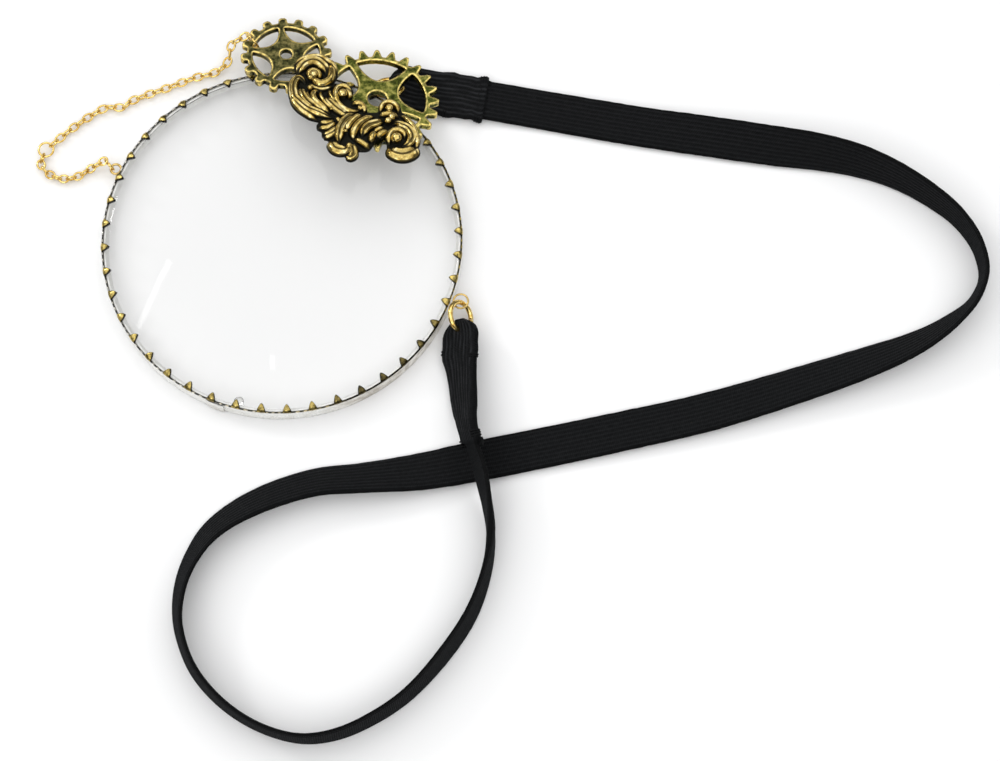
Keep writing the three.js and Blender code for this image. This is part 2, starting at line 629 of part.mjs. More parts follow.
for (let i = 0; i <= 80; i += 1) {
  const { x: roll, y: lift } = routeRoll.getPoint(i / 80);
  const height = restHeight(roll, STRAP_WIDTH, STRAP_THICKNESS) + Math.max(0, lift);
  const centre = routePath.getPoint(i / 80).setZ(height);
  const heading = routePath.getTangent(i / 80);
  strapRings.push(strapSection(centre, heading, roll, STRAP_WIDTH, STRAP_THICKNESS));
}
addPart('strap_band', loft(strapRings), 0x17181b, 0, 0.85);

// Chain: one ring round the left gear's rim, links down to a joining ring on the table, and links back
// to a ring in the bezel's eye. Both end rings stand square to the line on which the chain swings.
const holdRadius = (leftGear.root + leftGear.rim) / 2 + 0.15;
const gearHold = polar(holdRadius, leftGear.toothTurn + 57.75).applyMatrix4(leftFrame);
const bezelHold = chainEye.clone().add(polar(CHAIN_EYE_RADIUS, chainEyeTurn));
const swing = gearHold.clone().sub(bezelHold).normalize();
const swingOut = Z.clone().cross(swing).normalize();
const swingUp = swing.clone().cross(swingOut);
const gearRing = gearHold.clone().addScaledVector(swingOut, 0.18);
const bezelRing = bezelHold.clone().addScaledVector(swingOut, 0.65);
const smallRing = (radius) => wireOval(radius, radius, SMALL_RING_WIRE, 16, 6, 0.2 / radius);
addPart(
  'chain_gear_ring',
  place(smallRing(GEAR_RING_RADIUS), gearRing, swingUp, swingOut),
  0xe0b84f,
  0.95,
  0.2,
);
addPart(
  'chain_bezel_ring',
  place(smallRing(BEZEL_RING_RADIUS), bezelRing, swingUp, swingOut),
  0xe0b84f,
  0.95,
  0.2,
);
const linkHeight = LINK_WIDTH / 2 + 2 * TABLE_GAP;
const joining = vec(-47.1, 19.9, linkHeight);
addPart(
  'chain_joining_ring',
  place(smallRing(JOINING_RING_RADIUS), joining, vec(1, 1), vec(-1, 1)),
  0xe0b84f,
  0.95,
  0.2,
);

// Links are set out evenly along a run and turned a quarter from one to the next
const gearBite = gearRing.clone().addScaledVector(swingOut, GEAR_RING_RADIUS);
const bezelBite = bezelRing.clone().addScaledVector(swingOut, BEZEL_RING_RADIUS);
const upperRun = [
  gearBite, vec(-10.9, 41, 3.4), vec(-11.6, 38.4, 1.8), vec(-14, 36.4, linkHeight),
  vec(-18.2, 35.1, linkHeight), vec(-23.7, 32.9, linkHeight), vec(-28, 31.4, linkHeight),
  vec(-31.9, 29.4, linkHeight), vec(-35.2, 28.6, linkHeight), vec(-38.3, 27.2, linkHeight),
  vec(-42.3, 24.2, linkHeight), joining.clone().add(polar(JOINING_RING_RADIUS, 42)),
];
const lowerRun = [
  joining.clone().add(polar(JOINING_RING_RADIUS, 250)), vec(-48, 17, linkHeight),
  vec(-46.6, 15, linkHeight), vec(-43.6, 13.8, linkHeight), vec(-40.6, 14.3, linkHeight),
  vec(-38.6, 15.6, linkHeight), bezelBite,
];
let linkNumber = 0;
function chainRun(points, count, flatFirst) {
  const path = new THREE.CatmullRomCurve3(points);
  path.arcLengthDivisions = 600;
  const length = path.getLength();
  const pitch = (length + 2 * LINK_HOOK) / count;
  const halfLength = (pitch + 2 * LINK_WIRE + LINK_SLACK) / 2 - LINK_WIRE / 2;
  const halfWidth = (LINK_WIDTH - LINK_WIRE) / 2;
  for (let i = 0; i < count; i += 1) {
    const t = ((i + 0.5) * pitch - LINK_HOOK) / length;
    const heading = path.getPointAt(Math.min(1, t + 0.3 / count));
    heading.sub(path.getPointAt(Math.max(0, t - 0.3 / count)));
    const flat = Z.clone().cross(heading).normalize();
    const across = (i % 2 === 0) === flatFirst ? flat : heading.clone().cross(flat).normalize();
    const link = wireOval(halfLength, halfWidth, LINK_WIRE, 9, 4);
    linkNumber += 1;
    const name = `chain_link_${String(linkNumber).padStart(2, '0')}`;
    addPart(name, place(link, path.getPointAt(t), heading, across), 0xe0b84f, 0.95, 0.2);
  }
}
chainRun(upperRun, UPPER_LINKS, true);
chainRun(lowerRun, LOWER_LINKS, false);

// Origin: under the middle of the eyepiece and its trim, on the table
const extent = new THREE.Box3();
trim.forEach((mesh) => extent.expandByObject(mesh));
const middle = extent.getCenter(vec(0, 0));
group.children.forEach((mesh) => mesh.geometry.translate(-middle.x, -middle.y, -extent.min.z));

export default group;
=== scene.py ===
import math

import bpy
import numpy as np
from mathutils import Matrix, Vector, noise


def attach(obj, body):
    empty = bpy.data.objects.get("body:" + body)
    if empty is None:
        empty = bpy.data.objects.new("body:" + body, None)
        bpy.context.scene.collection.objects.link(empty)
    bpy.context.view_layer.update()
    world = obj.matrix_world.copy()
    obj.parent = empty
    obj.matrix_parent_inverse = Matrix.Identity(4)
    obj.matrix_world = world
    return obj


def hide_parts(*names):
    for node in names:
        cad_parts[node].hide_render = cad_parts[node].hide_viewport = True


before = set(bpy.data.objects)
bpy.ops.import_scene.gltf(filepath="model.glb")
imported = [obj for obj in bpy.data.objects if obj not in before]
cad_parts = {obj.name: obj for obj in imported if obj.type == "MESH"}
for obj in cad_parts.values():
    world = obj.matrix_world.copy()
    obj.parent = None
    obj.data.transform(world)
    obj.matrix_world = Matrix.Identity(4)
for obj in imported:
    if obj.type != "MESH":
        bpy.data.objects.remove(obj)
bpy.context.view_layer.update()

# Clear glass: a thin domed round of window glass, hollow behind, with a ground and eased edge. It drops into
# the bezel strip from behind, and is held by the prongs in front and cement at the back. Every piece is drawn
# in millimetres from the middle of the glass, and to_frame puts its points in their place in metres.
MM = 0.001
LENS_AXIS = Vector((-0.6764, -5.9299, 0.0))
GLASS_RADIUS = 34.3
GLASS_EDGE = 3.9
GLASS_CROWN = 3.5
GLASS_THICKNESS = 1.6
GLASS_ROWS, GLASS_STEPS = 22, 176
GROUND_EDGE = 0.12
GLASS_TINT = (0.9, 0.9, 0.898)
GLASS_BENDING = 1.3
GLASS_RIPPLE, GLASS_RIPPLE_SIZE = 0.02, 14
SMUDGE, SMUDGE_SIZE = 0.03, 9
DOME_RADIUS = (GLASS_RADIUS ** 2 + GLASS_CROWN ** 2) / (2 * GLASS_CROWN)
DOME_CENTRE = GLASS_EDGE + GLASS_CROWN - DOME_RADIUS


def front_height(radius):
    return DOME_CENTRE + math.sqrt(DOME_RADIUS ** 2 - radius ** 2)


def back_height(radius):
    return DOME_CENTRE + math.sqrt((DOME_RADIUS - GLASS_THICKNESS) ** 2 - radius ** 2)


def to_frame(point):
    return (Vector(point) + LENS_AXIS) * MM


def new_piece(name, points, faces, body, slot, finish, smooth=True):
    mesh = bpy.data.meshes.new(name)
    mesh.from_pydata([to_frame(p) for p in points], [], faces)
    return mount_mesh(name, mesh, body, finish, smooth)


def mount_mesh(name, mesh, body, finish, smooth=True):
    mesh.validate()
    mesh.polygons.foreach_set("use_smooth", [smooth] * len(mesh.polygons))
    mesh.materials.append(finish)
    piece = bpy.data.objects.new(name, mesh)
    bpy.context.scene.collection.objects.link(piece)
    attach(piece, body)
    return piece


def turned(profile, steps):
    """Points and faces of a round form, turned from a profile of radii and heights."""
    points, faces, rows = [], [], []
    for radius, height in profile:
        first = len(points)
        count = steps if radius > 1e-6 else 1
        for i in range(count):
            turn = 2 * math.pi * i / steps
            points.append((radius * math.cos(turn), radius * math.sin(turn), height))
        rows.append([first + i % count for i in range(steps)])
    for low, high in zip(rows, rows[1:]):
        for i in range(steps):
            k = (i + 1) % steps
            faces.append(list(dict.fromkeys([low[i], low[k], high[k], high[i]])))
    return points, faces


def new_finish(name, metallic=0.0):
    finish = bpy.data.materials.new(name)
    finish.use_nodes = True
    surface = finish.node_tree.nodes["Principled BSDF"]
    surface.inputs["Metallic"].default_value = metallic
    return finish, finish.node_tree, surface


def add_node(tree, kind, inputs=(), **settings):
    made = tree.nodes.new(kind)
    for key, value in settings.items():
        setattr(made, key, value)
    for key, value in dict(inputs).items():
        if hasattr(value, "is_output"):
            tree.links.new(value, made.inputs[key])
        else:
            made.inputs[key].default_value = value
    return made


def ramp(tree, factor, *stops):
    """Tone that follows a pattern through stops, each a position and a grey or a colour."""
    made = add_node(tree, "ShaderNodeValToRGB", {"Fac": factor})
    band = made.color_ramp.elements
    while len(band) < len(stops):
        band.new(0.5)
    for element, (position, tone) in zip(band, stops):
        element.position = position
        element.color = (*tone, 1) if hasattr(tone, "__len__") else (tone, tone, tone, 1)
    return made.outputs["Color"]


def cloud(tree, size, detail=4, spread=0.6):
    """Soft irregular pattern whose patches are about this many millimetres across."""
    spot = add_node(tree, "ShaderNodeTexCoord").outputs["Object"]
    pattern = add_node(tree, "ShaderNodeTexNoise", {
        "Vector": spot, "Scale": 1 / (size * MM), "Detail": detail, "Roughness": spread})
    return pattern.outputs["Fac"]


def bumps(tree, height, strength, depth):
    return add_node(tree, "ShaderNodeBump", {
        "Height": height, "Strength": strength, "Distance": depth * MM}).outputs["Normal"]


def dress(tree, surface, **patterns):
    """Lay a finish's patterns on its surface: colour, roughness and relief."""
    sockets = {"colour": "Base Color", "roughness": "Roughness", "relief": "Normal"}
    for layer, pattern in patterns.items():
        tree.links.new(pattern, surface.inputs[sockets[layer]])


def clear_finish(name, tint, bending, roughness, ripple, ripple_size):
    """Clear glass or cement, faintly smudged and rippled, that lets the light through to what lies behind."""
    finish, tree, surface = new_finish(name)
    surface.inputs["Base Color"].default_value = (*tint, 1)
    surface.inputs["Transmission Weight"].default_value = 1
    surface.inputs["IOR"].default_value = bending
    dress(tree, surface,
          roughness=ramp(tree, cloud(tree, SMUDGE_SIZE), (0.45, roughness), (0.75, roughness + SMUDGE)),
          relief=bumps(tree, cloud(tree, ripple_size, 2), ripple, 0.1))
    light = add_node(tree, "ShaderNodeLightPath")
    through = add_node(tree, "ShaderNodeBsdfTransparent", {"Color": (*tint, 1)})
    either = add_node(tree, "ShaderNodeMixShader", {
        0: light.outputs["Is Shadow Ray"], 1: surface.outputs[0], 2: through.outputs[0]})
    tree.links.new(either.outputs[0], tree.nodes["Material Output"].inputs["Surface"])
    return finish


glass_radii = [GLASS_RADIUS * i / GLASS_ROWS for i in range(GLASS_ROWS)]
glass_profile = [(radius, back_height(radius)) for radius in glass_radii]
glass_profile += [
    (GLASS_RADIUS - GROUND_EDGE, back_height(GLASS_RADIUS - GROUND_EDGE)),
    (GLASS_RADIUS, back_height(GLASS_RADIUS) + GROUND_EDGE),
    (GLASS_RADIUS, GLASS_EDGE - GROUND_EDGE),
    (GLASS_RADIUS - GROUND_EDGE, front_height(GLASS_RADIUS - GROUND_EDGE)),
]
glass_profile += [(radius, front_height(radius)) for radius in glass_radii[::-1]]
clear_glass = clear_finish("clear_glass", GLASS_TINT, GLASS_BENDING, 0.0, GLASS_RIPPLE, GLASS_RIPPLE_SIZE)
lens_glass = new_piece("lens_glass", *turned(glass_profile, GLASS_STEPS), "eyepiece", "clear_glass", clear_glass)
lens_glass.visible_diffuse = False
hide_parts("lens")

# Serrated bezel: a thin brass strip with a row of points cut into one edge, bent round the glass until its
# ends lap by a few millimetres. The points are domed and folded in on the glass, and the edge between them is
# milled in small waves. Shade is painted on the strip: dark at the lower right of the rim, on the low prongs,
# on each prong's side that faces the lower right, in the milled notches and on its inner face near the top.
# The edge between the prongs is painted paler on the left, where the light falls, and gilt on the right.
BEZEL_RADIUS = 35.0
STRIP_THICKNESS = 0.32
STRIP_HEIGHT = 4.2
STRIP_ROWS, CLOSE_ROWS_FROM = 18, STRIP_HEIGHT - 0.4
PRONGS = 44
PRONG_TURN = 2.8
PRONG_WIDTH = 1.75
PRONG_REACH = 1.2
PRONG_DOME = 0.3
PRONG_THICKNESS = 0.5
PRONG_UNEVEN, PRONG_LIFT = 0.12, 0.06
PRONG_COLUMNS, GAP_COLUMNS = 14, 18
PRONG_ROUNDING, PRONG_POINT = 1.5, 0.78
FOLD_START = STRIP_HEIGHT - 0.1
FOLD_RADIUS = 0.45
FOLD_TURN, FULL_FOLD = 1.28, 0.9
MILL_WAVES = 3.4
MILL_DEPTH = 0.12
GILT_FROM, GILT_FADE = STRIP_HEIGHT - 0.35, 0.25
# Painted shade: middle and half width, in degrees, of the shaded sector at the lower right of the rim.
SHADE_MIDDLE, SHADE_HALF = 312, 28
# Painted shade: prongs darken towards their tips on the side facing this way, away from the light, and more low
# on the rim.
SHADED_SIDE = Vector((0.7, -0.71))
TIP_SHADE_LENGTH = 0.4
LOWER_RIM_SHADE, SECTOR_SHADE = 0.35, 0.6
PAINTED_SHADE_BLACK = (0.012, 0.012, 0.01)


def stored(mesh, name, values):
    """Keep one number for each point of a mesh, for its finish to read."""
    layer = mesh.attributes.new(name, "FLOAT", "POINT")
    layer.data.foreach_set("value", np.asarray(values, np.float32))


def attribute(tree, name):
    return add_node(tree, "ShaderNodeAttribute", attribute_name=name).outputs["Fac"]


def mixed(tree, factor, first, second):
    made = add_node(tree, "ShaderNodeMix", data_type="RGBA")
    for socket, value in (("Factor_Float", factor), ("A_Color", first), ("B_Color", second)):
        target = next(s for s in made.inputs if s.identifier == socket)
        if hasattr(value, "is_output"):
            tree.links.new(value, target)
        else:
            target.default_value = (*value, 1)
    return next(s for s in made.outputs if s.identifier == "Result_Color")


def held(value, least=0.0):
    return min(1.0, max(least, value))


def faces_along(rows, sides, closed=False, flipped=False):
    """Faces over rows of points, each row a ring: closed end to end, or with a cap on each end."""
    faces = []
    for i in range(rows if closed else rows - 1):
        here, there = i * sides, (i + 1) % rows * sides
        for j in range(sides):
            k = (j + 1) % sides
            faces.append((here + j, there + j, there + k, here + k) if flipped
                         else (here + j, here + k, there + k, there + j))
    if not closed:
        first, last = tuple(range(sides)), tuple(range((rows - 1) * sides, rows * sides))
        faces += [first, last[::-1]] if flipped else [first[::-1], last]
    return faces


def strip_line(distance):
    """Radius, height and inward lean of the strip's middle at a distance up from its lower edge."""
    middle = BEZEL_RADIUS - STRIP_THICKNESS / 2
    if distance <= FOLD_START:
        return middle, distance, 0.0
    turn = min((distance - FOLD_START) / FOLD_RADIUS, FOLD_TURN)
    radius = middle - FOLD_RADIUS * (1 - math.cos(turn))
    height = FOLD_START + FOLD_RADIUS * math.sin(turn)
    beyond = max(0.0, distance - FOLD_START - FOLD_RADIUS * FOLD_TURN)
    return radius - beyond * math.sin(turn), height + beyond * math.cos(turn), turn


prong_share = PRONG_WIDTH / (2 * math.pi * BEZEL_RADIUS / PRONGS)
columns = []
for prong in range(PRONGS):
    columns += [prong - prong_share / 2 * math.cos(math.pi * i / PRONG_COLUMNS) for i in range(PRONG_COLUMNS)]
    columns += [prong + prong_share / 2 + (1 - prong_share) * i / GAP_COLUMNS for i in range(GAP_COLUMNS)]
strip_points, strip_gold, strip_dark, strip_pale = [], [], [], []
for column in columns:
    aside = ((column + 0.5) % 1 - 0.5) / (prong_share / 2)
    offset = abs(aside)
    turn = math.radians(PRONG_TURN + 360 / PRONGS * column)
    cosine, sine = math.cos(turn), math.sin(turn)
    uneven = noise.noise((round(column) * 1.7, 3.1, 0.4))
    # Painted shade: the strip and its prongs darken in a sector at the lower right of the rim.
    shaded_sector = min(1.0, max(0.0, 1 - abs(math.degrees(turn) % 360 - SHADE_MIDDLE) / SHADE_HALF) * 3)
    # Painted light: the edge between the prongs turns pale on the left, where the light catches it, and stays
    # gilt on the right.
    wear_and_painted_light = held(0.5 + 0.8 * cosine)
    on_prong = offset < 1
    if on_prong:
        point = (1 - offset ** PRONG_ROUNDING) ** PRONG_POINT
        reach = STRIP_HEIGHT + (FOLD_RADIUS + PRONG_REACH * (1 + PRONG_UNEVEN * uneven)) * point
        dome = PRONG_DOME * (1 - offset ** 2)
        slope = Vector((-cosine, -sine)) * (1 - offset) + Vector((-sine, cosine)) * aside
        # Painted shade on the prong: its tip on the side facing the lower right, and the whole prong low on the
        # rim.
        tip_side_shade = held(0.55 + 0.9 * slope.normalized().dot(SHADED_SIDE), 0.2)
        prong_face_shade = LOWER_RIM_SHADE * max(0.0, -sine) ** 2 + SECTOR_SHADE * shaded_sector
    else:
        drift = 0.8 * noise.noise((column * 0.9, 0.0, 7.0))
        notch = 0.5 + 0.5 * math.cos(2 * math.pi * (MILL_WAVES * column + drift))
        reach = STRIP_HEIGHT - MILL_DEPTH * notch
        dome = 0.0
        # Painted shade: the milled edge is dark in each notch and light on its crests.
        gap_shade = max(shaded_sector, held((notch - 0.3) / 0.25))
    low = min(CLOSE_ROWS_FROM, reach)
    for outside in (True, False):
        for row in range(STRIP_ROWS + 1) if outside else range(STRIP_ROWS, -1, -1):
            share = row / STRIP_ROWS
            distance = low * share * 2 if share < 0.5 else low + (reach - low) * (share * 2 - 1)
            radius, height, lean = strip_line(distance)
            folded = min(1.0, lean / FULL_FOLD)
            thick = STRIP_THICKNESS + (PRONG_THICKNESS - STRIP_THICKNESS) * folded
            out = thick - STRIP_THICKNESS / 2 + dome * folded if outside else -STRIP_THICKNESS / 2
            r = radius + out * math.cos(lean)
            z = height + out * math.sin(lean) + PRONG_LIFT * uneven * lean
            strip_points.append((r * cosine, r * sine, max(z, 0.0)))
            top = held((distance - GILT_FROM) / GILT_FADE)
            edge = max(0.0, 1 - (reach - distance) / TIP_SHADE_LENGTH)
            darkening = min(1.0, edge * tip_side_shade + prong_face_shade) if on_prong else gap_shade
            strip_gold.append(top * (1.0 if on_prong else 0.2 + 0.8 * wear_and_painted_light))
            # Painted shade: the inner face of the strip and the prongs' undersides are dark near the top.
            strip_dark.append(top * darkening if outside else top)
            # pale is low where the painted shade lies at the lower right.
            strip_pale.append(1 - shaded_sector)

bezel_brass, tree, surface = new_finish("bezel_brass", 1)
tarnish = ramp(tree, cloud(tree, 1.6, 6), (0.40, 0.0), (0.62, 1.0))
# Painted shade: the wall is darker and greyer in the shaded sector at the lower right.
shaded_wall = mixed(tree, tarnish, (0.50, 0.46, 0.40), (0.86, 0.84, 0.79))
pale_wall = mixed(tree, tarnish, (0.84, 0.83, 0.79), (0.95, 0.95, 0.93))
wall_tone = mixed(tree, attribute(tree, "pale"), shaded_wall, pale_wall)
prong_patches = ramp(tree, cloud(tree, 0.9, 5), (0.38, 0.0), (0.6, 1.0))
prong_tone = mixed(tree, prong_patches, (0.13, 0.10, 0.03), (0.78, 0.60, 0.19))
strip_tone = mixed(tree, attribute(tree, "gold"), wall_tone, prong_tone)
# The dark attribute lays the painted shade, and the lap's dark edge, on in black.
dress(tree, surface,
      colour=mixed(tree, attribute(tree, "dark"), strip_tone, PAINTED_SHADE_BLACK),
      roughness=ramp(tree, cloud(tree, 0.8, 5), (0.3, 0.42), (0.7, 0.16)),
      relief=bumps(tree, cloud(tree, 0.5, 5), 0.25, 0.05))
strip_faces = faces_along(len(columns), 2 * (STRIP_ROWS + 1), closed=True, flipped=True)
bezel_strip = new_piece("bezel_strip", strip_points, strip_faces, "eyepiece", "bezel_brass", bezel_brass)
stored(bezel_strip.data, "gold", strip_gold)
stored(bezel_strip.data, "dark", strip_dark)
stored(bezel_strip.data, "pale", strip_pale)
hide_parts("serrated_bezel")

# Lap of the strip's ends: the same brass strip, whose outer end lies over the inner one near the bottom of the
# rim and is soldered down, so that it shows as a small step with a square corner.
LAP_START, LAP_END = 246.5, 252.5
LAP_THICKNESS = 0.3
LAP_STEPS = 12
LAP_EASE, LAP_CHAMFER, LAP_SINK = 0.1, 0.08, 0.05
LAP_EDGE_DARK, LAP_PALE = 0.85, 0.6
lap_points, lap_dark = [], []
for i in range(LAP_STEPS + 1):
    turn = math.radians(LAP_START + (LAP_END - LAP_START) * i / LAP_STEPS)
    inner = BEZEL_RADIUS - LAP_SINK
    outer = BEZEL_RADIUS + LAP_THICKNESS * min(1.0, 0.25 + i / 3)
    # The lap is dark along its top edge, like the strip's milled edge.
    for r, z, darkening in (
        (inner, LAP_EASE, 0.0), (outer, LAP_EASE, 0.0), (outer, STRIP_HEIGHT - LAP_EASE, 0.0),
        (outer - LAP_CHAMFER, STRIP_HEIGHT, LAP_EDGE_DARK), (inner, STRIP_HEIGHT, LAP_EDGE_DARK),
    ):
        lap_points.append((r * math.cos(turn), r * math.sin(turn), z))
        lap_dark.append(darkening)
bezel_lap = new_piece("bezel_lap", lap_points, faces_along(LAP_STEPS + 1, 5),
                      "eyepiece", "bezel_brass", bezel_brass, smooth=False)
stored(bezel_lap.data, "gold", [0.0] * len(lap_points))
stored(bezel_lap.data, "pale", [LAP_PALE] * len(lap_points))
stored(bezel_lap.data, "dark", lap_dark)

# Cement: clear jeweller's cement, run as a bead into the corner behind the glass, dabbed under each gear,
# and squeezed out as one small drop beside a prong at the bottom of the rim. It sets hard and glossy, and
# turns milky where it lies thick against the metal.
BEAD_RADIUS = 34.3
BEAD_SIZE = 0.75
BEAD_STEPS, BEAD_ARC = 240, 6
BEAD_SINK, BEAD_UNEVEN = 0.05, 0.22
FILL_IN, FILL_OUT = GLASS_RADIUS + 0.03, BEZEL_RADIUS - 0.35
DROP_PLACE = (-7.5, -32.75, 4.45)
DROP_PROFILE = ((0.0, -0.32), (0.55, -0.25), (0.9, 0.0), (0.95, 0.3), (0.75, 0.6), (0.4, 0.79), (0.0, 0.85))
clear_cement = clear_finish("clear_cement", (0.95, 0.95, 0.93), 1.5, 0.06, 0.5, 0.9)
milky_cement, tree, surface = new_finish("milky_cement")
dress(tree, surface,
      colour=ramp(tree, cloud(tree, 1.2, 4), (0.3, (0.84, 0.83, 0.79)), (0.7, (0.94, 0.94, 0.92))),
      roughness=ramp(tree, cloud(tree, 0.8, 3), (0.3, 0.22), (0.7, 0.4)),
      relief=bumps(tree, cloud(tree, 0.7, 3), 0.3, 0.1))
bead_points = []
for i in range(BEAD_STEPS):
    turn = 2 * math.pi * i / BEAD_STEPS
    cosine, sine = math.cos(turn), math.sin(turn)
    reach = BEAD_SIZE * (1 + BEAD_UNEVEN * noise.noise((7 * cosine, 7 * sine, 2.0)))
    section = []
    for j in range(BEAD_ARC + 1):
        around = math.pi / 2 * j / BEAD_ARC
        r = BEAD_RADIUS - reach * math.cos(around) ** 0.8
        section.append((r, back_height(r) - BEAD_SINK - reach * 0.95 * math.sin(around)))
    fill = GLASS_EDGE - GROUND_EDGE + 0.12 * noise.noise((9 * cosine, 9 * sine, 5.0))
    section += [(FILL_OUT, section[-1][1]), (FILL_OUT, fill), (FILL_IN, fill + BEAD_SINK),
                (FILL_IN, back_height(BEAD_RADIUS) - BEAD_SINK)]
    bead_points += [(r * cosine, r * sine, z) for r, z in section]
cement_ring = new_piece("cement_ring", bead_points, faces_along(BEAD_STEPS, len(section), closed=True),
                        "eyepiece", "clear_cement", milky_cement)
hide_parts("cement_bead")

round_points, drop_faces = turned(DROP_PROFILE, 28)
drop_points = []
for x, y, z in round_points:
    uneven = 1 + 0.12 * noise.noise((x, y, z))
    drop_points.append((DROP_PLACE[0] + x * uneven, DROP_PLACE[1] + y * 0.9, DROP_PLACE[2] + z))
new_piece("cement_drop", drop_points, drop_faces, "eyepiece", "clear_cement", clear_cement)

for pad in (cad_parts["left_gear_cement"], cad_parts["right_gear_cement"]):
    pad.data.materials.clear()
    pad.data.materials.append(milky_cement)
    pad.data.polygons.foreach_set("use_smooth", [True] * len(pad.data.polygons))
    pad.modifiers.new("rounding", "SUBSURF").render_levels = 2

# Left gear: a small zinc casting, brass plated and darkened to olive, with sixteen square teeth, five spokes
# and an empty hub hole. Its edges are rubbed back to gold. Cement holds it on the prongs at the top.
GEAR_THICKNESS = 1.4
GEAR_SKIN, GEAR_SOFTENING = 0.13, 5
GEAR_WEAR_ROUNDS, GEAR_WEAR_DEPTH = 14, 0.1
SPOKES = 5
OPENING_STEPS = 24
LEFT_GEAR = {"teeth": 16, "tip": 9.0, "root": 7.75, "rim": 6.6, "hub": 3.6, "bore": 1.17, "base": 1.86,
             "top": 1.63, "round": 0.3, "spoke": 1.2, "tooth_turn": 96, "spoke_turn": 100}
LEFT_ORIGIN = Vector((0.1326, 37.9998, 5.3))
LEFT_AXES = ((0.9979, 0.0, -0.0645), (-0.0167, 0.9661, -0.2578), (0.0623, 0.2583, 0.964))


def polar(radius, degrees):
    return radius * math.cos(math.radians(degrees)), radius * math.sin(math.radians(degrees))


def gear_loops(gear):
    """Outlines of a gear: its toothed edge, the openings between its spokes, and its bore."""
    tip, root, top, base = gear["tip"], gear["root"], gear["top"], gear["base"]
    tooth_share = 360 / gear["teeth"]
    gap = tooth_share - math.degrees(base / root)
    edge = []
    for i in range(gear["teeth"]):
        turn = gear["tooth_turn"] + tooth_share * i
        for radius, offset in (
            (root, -base / 2), (tip - gear["round"], -top / 2), (tip, -top / 4),
            (tip, top / 4), (tip - gear["round"], top / 2), (root, base / 2),
        ):
            edge.append(polar(radius, turn + math.degrees(offset / radius)))
        gap_start = turn + math.degrees(base / 2 / root)
        edge += [polar(root, gap_start + gap * step / 4) for step in (1, 2, 3)]
    loops = [edge]
    spoke_share = 360 / SPOKES
    half = spoke_share / 2 - math.degrees(gear["spoke"] / 2 / gear["rim"])
    bulge = 2 * gear["hub"] - gear["rim"] * math.cos(math.radians(half))
    for i in range(SPOKES):
        middle = gear["spoke_turn"] + spoke_share * (i + 0.5)
        opening = [polar(gear["rim"], middle - half + 2 * half * s / OPENING_STEPS)
                   for s in range(OPENING_STEPS + 1)]
        start, control, end = opening[-1], polar(bulge, middle), opening[0]
        for s in range(1, OPENING_STEPS):
            t = s / OPENING_STEPS
            opening.append(tuple((1 - t) ** 2 * a + 2 * t * (1 - t) * b + t * t * c
                                 for a, b, c in zip(start, control, end)))
        loops.append(opening)
    loops.append([polar(gear["bore"], 12 * s) for s in range(30)])
    return loops


def settled_mesh(holder):
    """Mesh of an object after its curves or modifiers have done their work. The object itself goes."""
    bpy.context.scene.collection.objects.link(holder)
    made = bpy.data.meshes.new_from_object(holder.evaluated_get(bpy.context.evaluated_depsgraph_get()))
    bpy.data.objects.remove(holder)
    return made


def cut_plate(loops, thickness):
    """Flat plate of millimetre outlines: the first is its edge and the others are openings."""
    drawing = bpy.data.curves.new("plate", "CURVE")
    drawing.dimensions = "2D"
    drawing.fill_mode = "BOTH"
    drawing.extrude = thickness / 2
    for loop in loops:
        spline = drawing.splines.new("POLY")
        spline.points.add(len(loop) - 1)
        spline.points.foreach_set("co", [c for x, y in loop for c in (x, y, 0.0, 1.0)])
        spline.use_cyclic_u = True
    made = settled_mesh(bpy.data.objects.new("plate", drawing))
    bpy.data.curves.remove(drawing)
    return made


def cast_skin(mesh, grain, rounds):
    """One even skin over everything in the mesh, with its corners softened as a casting's are."""
    holder = bpy.data.objects.new("pattern", mesh)
    skin = holder.modifiers.new("skin", "REMESH")
    skin.mode = "VOXEL"
    skin.voxel_size = grain
    soft = holder.modifiers.new("soft", "SMOOTH")
    soft.factor = 0.5
    soft.iterations = rounds
    made = settled_mesh(holder)
    bpy.data.meshes.remove(mesh)
    return made


def standing_out(mesh, rounds, depth):
    """How far each point stands above its surroundings: 1 on ridges and corners, 0 in hollows."""
    points = np.empty(len(mesh.vertices) * 3)
    mesh.vertices.foreach_get("co", points)
    points = points.reshape(-1, 3)
    normals = np.empty(len(mesh.vertices) * 3)
    mesh.vertex_normals.foreach_get("vector", normals)
    ends = np.empty(len(mesh.edges) * 2, np.int32)
    mesh.edges.foreach_get("vertices", ends)
    here = np.concatenate([ends[0::2], ends[1::2]])
    there = np.concatenate([ends[1::2], ends[0::2]])
    count = np.bincount(here, minlength=len(points))[:, None].clip(1)
    level = points.copy()
    for _ in range(rounds):
        level = np.stack([np.bincount(here, level[there, axis], len(points)) for axis in range(3)], 1) / count
    above = ((points - level) * normals.reshape(-1, 3)).sum(1)
    return np.clip(0.5 + above / (2 * depth), 0, 1), points


def plane_frame(origin, x, y, z):
    turn = Matrix((x, y, z)).transposed().to_4x4()
    return Matrix.Translation(LENS_AXIS * MM) @ Matrix.Scale(MM, 4) @ Matrix.Translation(origin) @ turn


def reckoned(tree, operation, *values):
    return add_node(tree, "ShaderNodeMath", dict(enumerate(values)), operation=operation).outputs[0]


